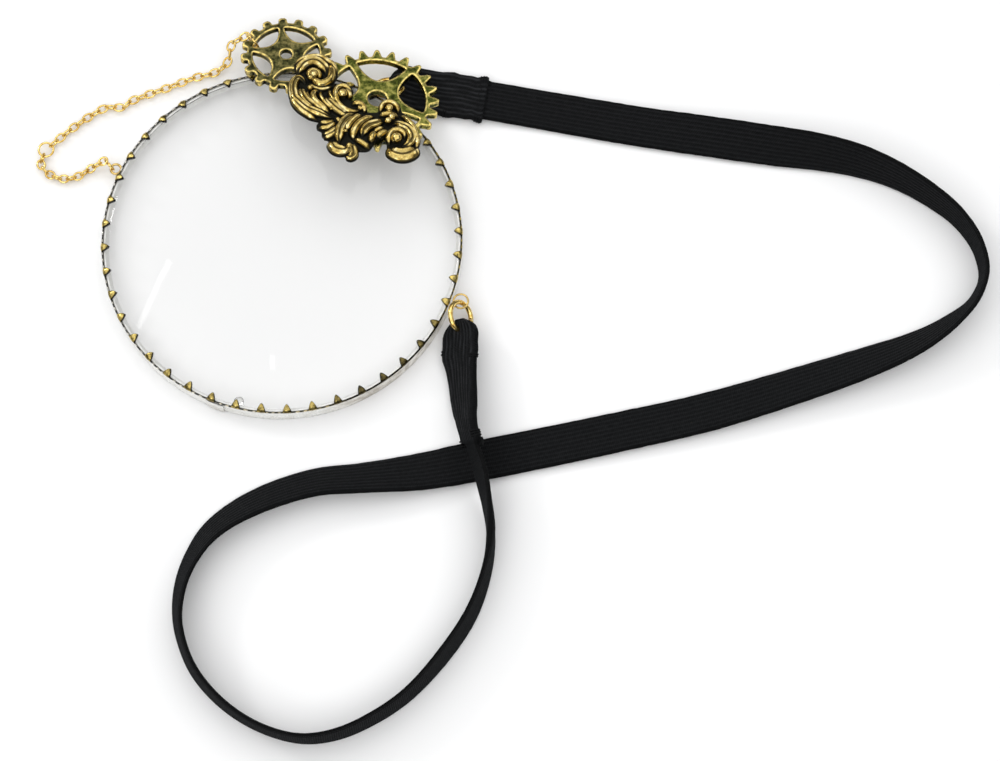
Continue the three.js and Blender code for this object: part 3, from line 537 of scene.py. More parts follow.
def worn_metal(name, low, mid, high, edge, rough, patch, grain):
    """Plated casting: low, mid and high tones in patches, and edge where rubbing bares the gold."""
    finish, tree, surface = new_finish(name, 1)
    patches = ramp(tree, cloud(tree, patch, 8, 0.75), (0.40, low), (0.5, mid), (0.62, high))
    ridges = ramp(tree, attribute(tree, "wear"), (0.62, 0.0), (0.8, 1.0))
    broken = ramp(tree, cloud(tree, 1.1, 4), (0.38, 0.25), (0.56, 1.0))
    wear_and_painted_light = reckoned(tree, "MULTIPLY", ridges, broken)
    hollow = ramp(tree, attribute(tree, "wear"), (0.28, 1.0), (0.46, 0.0))
    hollow_tone = tuple(c * 0.25 for c in low)
    cast_shine = ramp(tree, cloud(tree, patch * 0.6, 5), (0.3, rough), (0.7, rough * 0.7))
    dress(tree, surface,
          colour=mixed(tree, hollow, mixed(tree, wear_and_painted_light, patches, edge), hollow_tone),
          roughness=mixed(tree, wear_and_painted_light, cast_shine, (0.22, 0.22, 0.22)),
          relief=bumps(tree, cloud(tree, grain, 5), 0.3, 0.06))
    return finish


def cast_gear(name, node, gear, origin, axes, finish):
    mesh = cast_skin(cut_plate(gear_loops(gear), GEAR_THICKNESS), GEAR_SKIN, GEAR_SOFTENING)
    wear, _ = standing_out(mesh, GEAR_WEAR_ROUNDS, GEAR_WEAR_DEPTH)
    mesh.transform(plane_frame(origin, *axes))
    casting = mount_mesh(name, mesh, "eyepiece", finish)
    stored(casting.data, "wear", wear)
    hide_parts(node)


olive_brass = worn_metal("olive_brass", (0.014, 0.014, 0.007), (0.068, 0.067, 0.023), (0.24, 0.20, 0.075),
                         (0.82, 0.63, 0.21), 0.38, 1.5, 0.35)
cast_gear("left_gear_casting", "left_gear", LEFT_GEAR, LEFT_ORIGIN, LEFT_AXES, olive_brass)

# Right gear: the larger casting, with twenty-four pointed teeth and a paler, greenish brass plating.
# It is cemented on the prongs over the upper strap ring, beside the left gear, and the strap shows through it.
RIGHT_GEAR = {"teeth": 24, "tip": 12.15, "root": 10.4, "rim": 9.5, "hub": 4.374, "bore": 1.883, "base": 2.025,
              "top": 1.0125, "round": 0.35, "spoke": 1.7, "tooth_turn": 0, "spoke_turn": 48}
RIGHT_ORIGIN = Vector((18.2647, 27.8082, 7.2))
RIGHT_AXES = ((0.9954, 0.0, -0.0958), (-0.0263, 0.9616, -0.2732), (0.0922, 0.2745, 0.9572))
green_brass = worn_metal("green_brass", (0.028, 0.034, 0.007), (0.095, 0.11, 0.02), (0.36, 0.33, 0.085),
                         (0.86, 0.68, 0.22), 0.34, 1.6, 0.4)
cast_gear("right_gear_casting", "right_gear", RIGHT_GEAR, RIGHT_ORIGIN, RIGHT_AXES, green_brass)

# Scroll ornament: one lost-wax style casting of acanthus scrolls in two lobes, gold plated, with black
# left in its hollows and the ridges polished bright. Leaves and beads of set outlines stand on a thin back
# plate, and the whole is cemented over both gears.
SCROLL_PLATE = 0.75
SCROLL_RISE = 1.35
SCROLL_SHRINK = 0.965
SCROLL_SHIFT = (-0.02, 0.13, GEAR_THICKNESS / 2 + 0.3)
SCROLL_SKIN, SCROLL_SOFTENING = 0.1, 2
SCROLL_WEAR_ROUNDS, SCROLL_WEAR_DEPTH = 12, 0.13
LEAF_FULLNESS = 1.95
LEAF_SKIRT = 0.4
LEAF_SIDES, LEAF_STEP = 20, 0.25
LEAF_TAPER = 5.5
LEAF_UNDERSIDE = 0.45
GROOVED_FROM = 0.85
GROOVE_DEPTH, GROOVE_PLACE, GROOVE_WIDTH = 0.42, 0.12, 0.24
SCROLL_BEAD_LEVEL = SCROLL_PLATE + SCROLL_RISE - 0.45
LINE_STEPS = 24
SCROLL_BACKS = (
    ((-16.8, 7.1), (-15.8, 8.5), (-14.5, 9.4), (-12.9, 9.8), (-11.3, 9.6), (-10.0, 8.8), (-8.8, 8.1),
     (-8.2, 6.6), (-8.0, 4.9), (-8.3, 3.6), (-8.8, 2.6), (-8.1, 2.4), (-7.1, 2.6), (-6.1, 2.4), (-5.3, 1.6),
     (-4.9, 0.3), (-5.1, -0.9), (-5.6, -2.0), (-4.5, -1.6), (-3.5, -1.7), (-2.6, -2.5), (-2.2, -3.8),
     (-2.3, -4.5), (-3.8, -4.6), (-5.2, -5.0), (-6.6, -5.6), (-8.2, -6.1), (-9.9, -6.4), (-12.0, -7.0),
     (-13.5, -6.2), (-15.0, -5.2), (-16.4, -3.9), (-17.2, -2.2), (-17.6, -0.5), (-17.7, 1.3), (-17.5, 2.9),
     (-16.9, 3.9), (-16.3, 4.4), (-16.4, 5.2), (-16.9, 5.9)),
    ((-12.1, -6.9), (-11.2, -6.5), (-10.1, -6.6), (-8.5, -6.2), (-6.9, -5.7), (-5.3, -4.9), (-3.1, -4.5),
     (-0.5, -4.6), (0.2, -4.2), (0.3, -3.0), (0.7, -2.0), (1.7, -1.3), (2.9, -1.2), (4.1, -2.0), (4.7, -3.2),
     (4.9, -4.2), (6.0, -5.2), (7.1, -6.7), (8.0, -8.3), (8.3, -10.4), (8.3, -12.5), (7.8, -13.9), (6.8, -15.2),
     (5.4, -15.8), (4.0, -15.7), (2.7, -15.0), (2.0, -13.9), (1.8, -12.5), (2.2, -11.4), (2.0, -10.6),
     (0.8, -10.7), (-0.2, -11.5), (-0.7, -12.3), (-1.5, -13.7), (-2.4, -14.2), (-3.8, -14.2), (-4.2, -13.7),
     (-4.2, -15.2), (-5.1, -15.8), (-6.3, -15.4), (-7.6, -14.9), (-8.8, -14.4), (-9.6, -13.3), (-9.9, -11.9),
     (-10.6, -11.4), (-11.2, -10.8), (-11.3, -9.7), (-12.1, -9.2), (-12.3, -8.4), (-11.9, -7.6)),
)
SCROLL_LEAVES = (
    (0.45, 0.9, ((-16.8, 6.1), (-16.6, 6.8), (-15.8, 7.7), (-14.7, 8.3), (-13.5, 8.7), (-12.3, 8.8),
                 (-11.1, 8.5), (-10.1, 7.7), (-9.2, 7.0), (-8.6, 5.9), (-8.4, 4.7), (-8.5, 3.8))),
    (1.15, 1.0, ((-16.2, 4.0), (-16.0, 4.9), (-15.6, 5.8), (-15.0, 6.7), (-14.1, 7.4), (-13.1, 7.7),
                 (-12.1, 7.4), (-11.4, 6.8), (-10.7, 6.0), (-10.4, 5.1), (-10.4, 4.3))),
    (0.8, 1.1, ((-10.0, 7.1), (-9.6, 6.3), (-9.3, 5.2), (-9.3, 4.1), (-9.7, 2.9), (-10.4, 2.2), (-11.3, 1.8),
                (-12.1, 1.9), (-12.7, 2.6), (-13.2, 3.4), (-13.8, 3.5))),
    (0.62, 1.1, ((-14.0, 3.3), (-13.9, 4.3), (-13.4, 4.8), (-12.7, 4.8), (-12.1, 4.4), (-11.8, 3.7),
                 (-12.0, 3.0))),
    (0.6, 0.85, ((-17.2, -0.7), (-17.1, -2.4), (-16.5, -3.8), (-15.5, -5.0), (-14.4, -5.9), (-13.3, -6.7),
                 (-12.1, -7.4))),
    (0.95, 1.1, ((-14.6, 1.7), (-15.1, 2.7), (-15.8, 3.2), (-16.4, 2.9), (-16.9, 2.0), (-17.1, 0.7),
                 (-17.0, -0.7), (-16.7, -2.0), (-15.9, -2.9), (-15.0, -3.9), (-13.9, -4.8), (-12.5, -5.4),
                 (-11.2, -5.9), (-9.9, -6.4), (-8.9, -6.4))),
    (0.85, 1.0, ((-15.5, 0.9), (-15.3, -0.6), (-14.8, -1.9), (-14.1, -3.0), (-13.2, -3.8), (-12.5, -4.3))),
    (0.66, 1.0, ((-11.7, -0.4), (-12.4, -0.1), (-13.0, -0.8), (-12.9, -1.9), (-12.4, -2.9), (-11.5, -3.8),
                 (-10.6, -4.7), (-9.6, -5.5))),
    (0.9, 1.0, ((-10.4, -1.1), (-10.0, -2.4), (-9.3, -3.3), (-8.6, -4.1), (-7.7, -4.9), (-6.7, -5.6),
                (-5.8, -6.1))),
    (0.55, 1.0, ((-5.4, -0.9), (-5.6, 0.4), (-6.2, 1.1), (-7.1, 1.4), (-8.0, 1.0), (-8.5, 0.0), (-8.5, -1.2),
                 (-8.3, -2.3), (-7.7, -3.4), (-6.9, -4.3), (-6.0, -4.8), (-5.0, -4.9), (-4.1, -4.7),
                 (-3.4, -4.2))),
    (0.45, 1.0, ((-6.8, 0.5), (-6.1, -0.1), (-5.6, -1.0), (-5.9, -1.7))),
    (0.55, 0.9, ((-5.2, -3.3), (-4.6, -2.8), (-3.8, -2.8), (-3.0, -3.4), (-2.7, -4.6), (-2.9, -5.1))),
    (0.4, 0.8, ((-4.3, -4.1), (-3.6, -4.0), (-3.1, -4.6))),
    (0.4, 0.6, ((-14.1, 2.1), (-13.3, 1.3), (-12.4, 0.7), (-11.3, 0.5), (-10.2, 0.8), (-9.0, 1.6))),
    (0.3, 0.8, ((-13.9, 0.3), (-14.2, -1.1), (-13.6, -2.4), (-12.7, -3.5), (-11.6, -4.5), (-10.4, -5.3))),
    (0.3, 0.8, ((-11.2, 0.2), (-11.6, -0.9), (-11.2, -2.1), (-10.4, -3.3), (-9.4, -4.3), (-8.4, -5.1))),
    (0.3, 0.8, ((-9.6, 0.6), (-9.7, -0.6), (-9.2, -1.8), (-8.5, -2.9), (-7.6, -3.8))),
    (0.55, 0.85, ((4.2, -6.0), (3.4, -5.6), (2.3, -5.3), (1.2, -5.4), (0.2, -5.8))),
    (0.5, 0.8, ((-8.3, -7.7), (-9.2, -8.5), (-10.1, -9.2), (-11.1, -9.3), (-12.0, -9.4))),
    (0.5, 0.7, ((-8.6, -7.4), (-9.9, -7.9), (-10.9, -7.9), (-11.8, -7.7))),
    (0.5, 0.75, ((-8.1, -8.8), (-8.9, -9.7), (-9.6, -10.4), (-10.4, -10.8), (-11.1, -10.6))),
    (0.5, 0.75, ((-8.3, -9.9), (-9.1, -10.8), (-9.9, -11.4), (-10.8, -11.8))),
    (0.95, 1.1, ((-4.3, -5.6), (-5.4, -6.1), (-6.4, -7.0), (-7.1, -8.2), (-7.6, -9.5), (-7.8, -10.9),
                 (-7.9, -12.0), (-7.7, -12.9))),
    (0.62, 1.0, ((-3.1, -5.6), (-4.3, -6.4), (-5.2, -7.4), (-5.9, -8.5), (-6.5, -9.9))),
    (0.75, 1.05, ((-0.7, -5.9), (-2.0, -6.5), (-3.2, -7.4), (-4.2, -8.6), (-4.8, -9.9), (-5.0, -11.0),
                  (-4.8, -12.1))),
    (0.5, 0.9, ((-4.8, -11.9), (-4.0, -12.2), (-3.1, -12.8), (-2.4, -13.4), (-1.7, -14.2))),
    (0.95, 1.0, ((1.2, -6.9), (-0.2, -7.6), (-1.6, -8.2), (-2.5, -9.1), (-3.0, -10.1), (-3.2, -11.0))),
    (0.6, 1.05, ((2.2, -9.9), (1.2, -10.1), (0.4, -10.6), (-0.3, -11.3))),
    (0.65, 1.0, ((-0.3, -10.0), (-1.0, -10.7), (-1.3, -11.6), (-1.2, -12.6))),
    (0.35, 0.8, ((1.3, -8.8), (0.5, -9.0), (-0.3, -9.5), (-0.9, -10.1))),
    (1.25, 1.05, ((-9.3, -12.3), (-9.1, -13.4), (-8.5, -14.4), (-7.5, -14.8), (-6.6, -14.6), (-6.0, -13.5))),
    (1.0, 1.0, ((-5.9, -13.4), (-5.3, -13.9), (-5.0, -14.8), (-5.0, -15.8), (-5.6, -16.3), (-6.4, -15.8))),
    (0.55, 0.9, ((4.3, -5.4), (5.3, -5.9), (6.3, -7.0), (7.1, -8.4), (7.6, -9.9), (7.9, -11.6), (7.8, -13.0),
                 (7.4, -14.0))),
    (0.95, 1.1, ((2.9, -7.6), (3.8, -7.5), (4.9, -8.1), (5.9, -8.7), (6.6, -9.7), (6.9, -10.8), (6.6, -11.9),
                 (5.8, -12.8), (4.8, -13.2))),
    (0.6, 0.95, ((2.3, -12.9), (2.1, -11.6), (2.4, -10.3), (3.2, -9.4), (4.3, -9.3), (5.2, -10.0),
                 (5.4, -11.2))),
    (1.7, 1.1, ((2.3, -13.4), (2.7, -14.5), (3.7, -15.2), (4.9, -15.4), (6.2, -15.0), (7.3, -14.1),
                (7.7, -13.1))),
    (0.5, 0.95, ((0.5, -5.0), (0.6, -4.0), (1.0, -3.0), (1.8, -2.4), (2.9, -2.4), (3.7, -3.2), (4.1, -4.1),
                 (4.1, -4.9))),
)
SCROLL_BEADS = ((-12.9, 3.8, 0.85), (-13.6, 2.9, 0.6), (-13.7, 0.4, 0.55), (-7.1, -0.8, 0.95),
                (-8.1, -7.3, 0.4), (-7.3, -7.8, 0.35), (-9.4, -4.8, 0.3), (3.7, -11.6, 1.15), (2.3, -4.1, 0.8),
                (2.0, -7.3, 0.7), (2.8, -6.3, 0.75), (-8.0, -7.4, 0.4), (-7.3, -7.7, 0.4), (-6.5, -10.2, 0.4),
                (-5.8, -13.8, 0.6))


def through_points(points, closed=False):
    """Dense smooth line through listed points, and the distance run along it at each of its points."""
    p = np.array(points, float)
    ends = (p[-1:], p[:2]) if closed else (2 * p[:1] - p[1:2], 2 * p[-1:] - p[-2:-1])
    p = np.concatenate([ends[0], p, ends[1]])
    line = []
    for a, b, c, d in zip(p, p[1:], p[2:], p[3:]):
        k0, k1, k2 = (max(np.linalg.norm(v - u), 1e-6) ** 0.5 for u, v in ((a, b), (b, c), (c, d)))
        lead = ((b - a) / k0 - (c - a) / (k0 + k1) + (c - b) / k1) * k1
        trail = ((c - b) / k1 - (d - b) / (k1 + k2) + (d - c) / k2) * k1
        for t in np.linspace(0, 1, LINE_STEPS, endpoint=False):
            line.append(b + lead * t + (3 * (c - b) - 2 * lead - trail) * t ** 2
                        + (2 * (b - c) + lead + trail) * t ** 3)
    if not closed:
        line.append(p[-2])
    line = np.array(line)
    return line, distance_run(line)


def distance_run(line):
    return np.concatenate([[0], np.cumsum(np.linalg.norm(np.diff(line, axis=0), axis=1))])


def along(line, run, distances):
    return np.stack([np.interp(distances, run, line[:, axis]) for axis in range(line.shape[1])], 1)


def hump(place, middle, spread):
    return math.exp(-((place - middle) / spread) ** 2)


def leaf(points, width, rise):
    """Rounded leaf along a line, tapered at both ends, with a groove along the broader ones."""
    line, run = through_points(points)
    steps = max(10, round(run[-1] / LEAF_STEP))
    spots = along(line, run, np.linspace(0, run[-1], steps + 1))
    heading = np.gradient(spots, axis=0)
    heading /= np.linalg.norm(heading, axis=1)[:, None]
    half_width = (LEAF_FULLNESS * width + LEAF_SKIRT) / 2
    groove = GROOVE_DEPTH if width >= GROOVED_FROM else 0.0
    made = []
    for i, (spot, (hx, hy)) in enumerate(zip(spots, heading)):
        t = i / steps
        taper = max(0.1, min(1.0, LEAF_TAPER * t, LEAF_TAPER * (1 - t))) ** 0.5
        swell = taper * (0.76 + 0.24 * math.sin(math.pi * t))
        for j in range(LEAF_SIDES):
            around = 2 * math.pi * j / LEAF_SIDES
            reach = half_width * swell * math.cos(around)
            lift = math.sin(around)
            crown = lift * (1 - groove * hump(math.cos(around), GROOVE_PLACE, GROOVE_WIDTH))
            height = SCROLL_PLATE + (SCROLL_RISE * rise * swell * crown if lift > 0 else LEAF_UNDERSIDE * lift)
            made.append((spot[0] - hy * reach, spot[1] + hx * reach, height))
    return made, faces_along(steps + 1, LEAF_SIDES)


def join_forms(forms):
    """Points and faces of many small forms, as one."""
    points, faces = [], []
    for form_points, form_faces in forms:
        first = len(points)
        points.extend(form_points)
        faces.extend(tuple(first + i for i in face) for face in form_faces)
    return points, faces


scroll_forms = []
for outline in SCROLL_BACKS:
    back = cut_plate([through_points(outline, closed=True)[0].tolist()], SCROLL_PLATE)
    scroll_forms.append(([(v.co.x, v.co.y, v.co.z + SCROLL_PLATE / 2) for v in back.vertices],
                         [tuple(f.vertices) for f in back.polygons]))
    bpy.data.meshes.remove(back)
for width, rise, points in SCROLL_LEAVES:
    scroll_forms.append(leaf(points, width, rise))
for x, y, radius in SCROLL_BEADS:
    ball = [(max(0.0, radius * math.sin(a)), radius * math.cos(a)) for a in np.linspace(0, math.pi, 9)]
    ball_points, ball_faces = turned(ball[::-1], 14)
    scroll_forms.append(([(x + a, y + b, SCROLL_BEAD_LEVEL + c) for a, b, c in ball_points], ball_faces))
scroll_points, scroll_faces = join_forms(scroll_forms)
pattern = bpy.data.meshes.new("scroll_pattern")
pattern.from_pydata(scroll_points, [], scroll_faces)
scroll_mesh = cast_skin(pattern, SCROLL_SKIN, SCROLL_SOFTENING)
ridge, spots = standing_out(scroll_mesh, SCROLL_WEAR_ROUNDS, SCROLL_WEAR_DEPTH)
raised = np.clip((spots[:, 2] - SCROLL_PLATE - 0.15) / 0.7, 0, 1)
scroll_mesh.transform(plane_frame(RIGHT_ORIGIN, *RIGHT_AXES) @ Matrix.Translation(SCROLL_SHIFT)
                      @ Matrix.Diagonal((SCROLL_SHRINK, SCROLL_SHRINK, 1, 1)))

antique_gold, tree, surface = new_finish("antique_gold", 1)
gold_tone = ramp(tree, cloud(tree, 1.5, 5), (0.36, (0.34, 0.23, 0.055)), (0.52, (0.70, 0.53, 0.18)),
                 (0.68, (0.95, 0.81, 0.42)))
bare = ramp(tree, attribute(tree, "wear"), (0.65, 0.0), (0.75, 1.0))
# Black patina in the hollows, and painted shade: the leaves' lower flanks turn dark brown below the bright gold
# ridges.
hollow_black_and_flank_shade = ramp(tree, attribute(tree, "wear"), (0.50, (0.017, 0.017, 0.013)), (0.67, (0.09, 0.067, 0.022)))
speckle = ramp(tree, cloud(tree, 0.35, 4), (0.40, 0.72), (0.55, 1.0))
dress(tree, surface,
      colour=mixed(tree, reckoned(tree, "MULTIPLY", bare, speckle), hollow_black_and_flank_shade, gold_tone),
      roughness=mixed(tree, bare, (0.6, 0.6, 0.6), (0.14, 0.14, 0.14)),
      relief=bumps(tree, cloud(tree, 0.4, 4), 0.2, 0.05))
scroll_casting = mount_mesh("scroll_casting", scroll_mesh, "eyepiece", antique_gold)
# The scroll's wear mixes ridges with height above the back plate, so its lower parts take the painted shade.
stored(scroll_casting.data, "wear", np.clip(ridge * 0.55 + raised * 0.45, 0, 1))
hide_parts("scroll_ornament")

# Soldered eyes: three small loops of round brass wire on the outside of the strip, one standing and two lying.
# They are soldered to its wall, and take the two strap rings and the end of the chain.
EYE_RADIUS, EYE_WIRE = 1.7, 0.6
LOWER_EYE_RADIUS, LOWER_EYE_WIRE = 1.42, 0.4
CHAIN_EYE_RADIUS, CHAIN_EYE_WIRE = 1.0, 0.5
UPPER_EYE = (17.1306, 32.2181, 2.2)
LOWER_EYE = (34.736, -12.301, 3.5)
CHAIN_EYE = (-33.035, 15.4044, 2.1)
UPPER_PULL = (0.9962, 0.0872, 0.0)
EAST, NORTH, UP = (1, 0, 0), (0, 1, 0), (0, 0, 1)


def bent_wire(half_length, half_width, wire, origin, x_way, y_way, slit=0.0, steps=48, sides=12):
    """Round wire bent to an oval: closed where it is soldered, or with a saw cut across it for a jump ring."""
    x = Vector(x_way).normalized()
    z = x.cross(Vector(y_way)).normalized()
    y = z.cross(x)
    points = []
    rows = steps + 1 if slit else steps
    for i in range(rows):
        turn = slit / 2 + (2 * math.pi - slit) * i / steps
        out = Vector((half_width * math.cos(turn), half_length * math.sin(turn))).normalized()
        for j in range(sides):
            around = 2 * math.pi * j / sides
            reach = wire / 2 * math.cos(around)
            flat = Vector((half_length * math.cos(turn), half_width * math.sin(turn))) + out * reach
            points.append(Vector(origin) + x * flat.x + y * flat.y + z * (wire / 2 * math.sin(around)))
    return points, faces_along(rows, sides, closed=not slit, flipped=True)


def wire_gold(name, dull, bright, rough):
    """Drawn and plated wire: bright metal with duller patches."""
    finish, tree, surface = new_finish(name, 1)
    dress(tree, surface,
          colour=ramp(tree, cloud(tree, 0.8, 5), (0.36, dull), (0.6, bright)),
          roughness=ramp(tree, cloud(tree, 0.4, 5), (0.35, rough + 0.14), (0.65, rough)),
          relief=bumps(tree, cloud(tree, 0.25, 4), 0.15, 0.03))
    return finish


soldered_brass = wire_gold("soldered_brass", (0.40, 0.27, 0.08), (0.82, 0.60, 0.23), 0.22)
for name, node, radius, wire, spot, x_way, y_way in (
    ("upper_eye_loop", "upper_strap_eye", EYE_RADIUS, EYE_WIRE, UPPER_EYE, UPPER_PULL, UP),
    ("lower_eye_loop", "lower_strap_eye", LOWER_EYE_RADIUS, LOWER_EYE_WIRE, LOWER_EYE, EAST, NORTH),
    ("chain_eye_loop", "chain_eye", CHAIN_EYE_RADIUS, CHAIN_EYE_WIRE, CHAIN_EYE, EAST, NORTH),
):
    loop = new_piece(name, *bent_wire(radius, radius, wire, spot, x_way, y_way),
                     "eyepiece", "bezel_brass", soldered_brass)
    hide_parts(node)

# Strap rings: two gold jump rings of round wire, sawn through and closed, one in each strap eye.
# Each goes through the doubled end of the elastic.
RING_RADIUS, RING_WIRE = 2.9, 1.0
RING_CUT, RING_STEPS = 0.25, 64
UPPER_RING = (20.2687, 32.4927, 2.2634)
LOWER_RING = (34.736, -15.451, 3.5)
bright_gold = wire_gold("bright_gold", (0.58, 0.34, 0.06), (1.0, 0.78, 0.30), 0.08)
for name, node, spot, x_way, y_way in (
    ("upper_ring", "upper_strap_ring", UPPER_RING, (0.5599, -0.6631, 0.4967), (0.827, 0.4835, -0.2868)),
    ("lower_ring", "lower_strap_ring", LOWER_RING, (0.6756, 0.0, -0.7373), (0.0, -1.0, 0.0)),
):
    wire = bent_wire(RING_RADIUS, RING_RADIUS, RING_WIRE, spot, x_way, y_way, RING_CUT / RING_RADIUS, RING_STEPS)
    ring = new_piece(name, *wire, "strap", "bright_gold", bright_gold)
    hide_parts(node)

# Elastic strap: black braided elastic, 8 mm wide with nine lengthwise ribs, as one length. Each end goes
# through its ring, folds back and is sewn down, and the long run lies loose on the table, turned on its edge
# at the bends. A fold's stations give x, y, height and roll, and the route's give x, y, roll and lift.
STRAP_WIDTH, STRAP_THICKNESS = 8.0, 1.0
DOUBLED_THICKNESS = 1.9
UPPER_END_WIDTH, LOWER_END_WIDTH = 8.9, 8.3
TABLE_GAP = 0.05
RIBS, RIB_STEPS = 9, 6
RIB_DEPTH = 0.13
RIBS_FADE_BELOW = 5
SELVEDGE = 0.22
RAW_SKEW, SKEW_LENGTH = 1.1, 1.6
RAW_SETBACK = 2.2
TWIST_BACK = 4
TWIST_SWELL, TWIST_LENGTH = 0.7, 4.5
PINCH, PINCH_LENGTH, PINCH_FROM = 3.0, 5.5, 14
GATHER, GATHER_LENGTH = 1.7, 6.0
UPPER_TACK, LOWER_TACK = 7.6, 7.2
UPPER_KNOB, LOWER_KNOB = 0.75, 0.6
TIP_ROUNDING, TIP_LEAST_WIDTH, TIP_EASE = 0.45, 0.3, 0.8
SECTION_PITCH = 1.15
TIP_SECTIONS = (0.15, 0.4, 0.75, 1.5, 2.0, 2.6, 3.2)
PICK_PITCH, RIBBED_WIDTH = 0.42, 7.6
UPPER_SLOT = (23.1576, 32.7454)
LOWER_SLOT = (34.736, -18.351)
UPPER_FOLD = (
    (UPPER_SLOT[0] - 2.9, UPPER_SLOT[1] + 0.45, 2.51, 6), (UPPER_SLOT[0], UPPER_SLOT[1], 2.16, 2),
    (UPPER_SLOT[0] + 4.2, UPPER_SLOT[1] - 0.65, 1.35, 0), (33.0, 31.35, 1.1, 0),
)
LOWER_FOLD = (
    (36.4, -39.3, 6.0, 111), (35.5, -32.7, 4.45, 121), (35.0, -26.6, 4.05, 128),
    (LOWER_SLOT[0] - 0.1, LOWER_SLOT[1] - 4.4, 3.75, 138), (LOWER_SLOT[0], LOWER_SLOT[1], 3.5, 142),
    (LOWER_SLOT[0], LOWER_SLOT[1] + 2.3, 3.5, 142),
)
STRAP_ROUTE = (
    (39.4, 30.33, 0, 0.5), (52, 28.1, 3, 0), (69.4, 24.8, 8, 0), (84, 22.3, 18, 0), (96.4, 20, 35, 0),
    (104.9, 18.5, 48, 0), (112.8, 16.4, 61, 0), (120.3, 13.1, 73, 0), (126.6, 9, 80, 0), (131.5, 4.6, 85, 0),
    (134.8, -0.6, 88, 0), (136, -5.8, 88, 0), (134.6, -10.8, 81, 0), (129.2, -16.4, 62, 0),
    (122.1, -20.7, 46, 0), (113.5, -24.1, 32, 0), (101.8, -28, 21, 0), (81.8, -34, 10, 0), (66, -37.6, 6, 0),
    (53, -40.4, 3, 0), (39, -43.3, 3, 0), (27.5, -45.8, 16, 0), (15.5, -47.4, 33, 0), (7.1, -48.3, 37, 0),
    (-2.7, -51.6, 41, 0), (-11.1, -56.8, 50, 0), (-15.9, -63.5, 62, 0), (-17.9, -70.3, 71, 0),
    (-17.6, -77.4, 79, 0), (-14.7, -84.7, 83, 0), (-8.8, -91.3, 87, 0), (-1.5, -95.7, 90, 0),
    (5.5, -97.5, 90, 0), (12, -96.7, 88, 0), (18.6, -93.8, 86, 0), (25.2, -89.2, 84, 0), (32.6, -80.8, 80, 0),
    (37.1, -73.6, 80, 0), (39.8, -65.8, 83, 0), (40.6, -58.6, 90, 0.2), (39.9, -53, 97, 0.9),
    (38.7, -47.2, 105, 1.8), (37.6, -43.3, 109, 1.9),
)


def lying_height(roll, lift):
    upright = STRAP_WIDTH / 2 * abs(math.sin(math.radians(roll)))
    return TABLE_GAP + upright + STRAP_THICKNESS / 2 * abs(math.cos(math.radians(roll))) + lift


lying = [(x, y, lying_height(roll, lift), roll) for x, y, roll, lift in STRAP_ROUTE]
strap_line, _ = through_points([*UPPER_FOLD, *lying, *LOWER_FOLD])
strap_run = distance_run(strap_line[:, :3])
strap_length = strap_run[-1]
route_end = len(UPPER_FOLD) + len(STRAP_ROUTE)
upper_raw = strap_run[LINE_STEPS * len(UPPER_FOLD)]
lower_raw = strap_run[LINE_STEPS * route_end] - RAW_SETBACK
twist = strap_run[LINE_STEPS * (route_end - TWIST_BACK)]


def strap_shape(distance):
    """Width, thickness and share of doubling of the elastic at a distance from its upper tip."""
    width, thickness, doubled = STRAP_WIDTH, STRAP_THICKNESS, 0.0
    from_lower = strap_length - distance
    thickness += TWIST_SWELL * hump(distance, twist, TWIST_LENGTH)
    if distance <= upper_raw:
        knobs = hump(distance, upper_raw - 0.6, 1.1) + 0.7 * hump(distance, upper_raw - UPPER_TACK, 1.2)
        width = UPPER_END_WIDTH + UPPER_KNOB * knobs
        thickness, doubled = DOUBLED_THICKNESS, 1.0
    if distance > lower_raw - PINCH_FROM:
        width -= PINCH * hump(distance, lower_raw, PINCH_LENGTH)
    if distance >= lower_raw:
        knobs = hump(from_lower, LOWER_TACK, 0.9) + 0.7 * hump(distance, lower_raw + 0.9, 0.9)
        gather = GATHER * hump(distance, lower_raw, GATHER_LENGTH)
        width = LOWER_END_WIDTH - gather + LOWER_KNOB * knobs
        thickness, doubled = DOUBLED_THICKNESS, 1.0
    to_tip = max(0.0, min(distance, from_lower))
    rounding = min(1.0, to_tip / (width * TIP_ROUNDING))
    width *= max(TIP_LEAST_WIDTH, math.sqrt(1 - (1 - rounding) ** 2))
    thickness *= max(0.45, min(1.0, to_tip / TIP_EASE)) ** 0.5
    return width, thickness, doubled


def strap_frame(distance):
    """Middle of the elastic at a distance from its upper tip, and its sideways, face and forward directions."""
    x, y, z, roll = along(strap_line, strap_run, [distance])[0]
    ahead = along(strap_line, strap_run, [min(distance + 0.4, strap_length)])[0]
    behind = along(strap_line, strap_run, [max(distance - 0.4, 0)])[0]
    heading = Vector((ahead - behind)[:2].tolist() + [0.0]).normalized()
    up = Vector(UP)
    left = up.cross(heading)
    cosine, sine = math.cos(math.radians(roll)), math.sin(math.radians(roll))
    return Vector((x, y, z)), left * cosine + up * sine, up * cosine - left * sine, heading


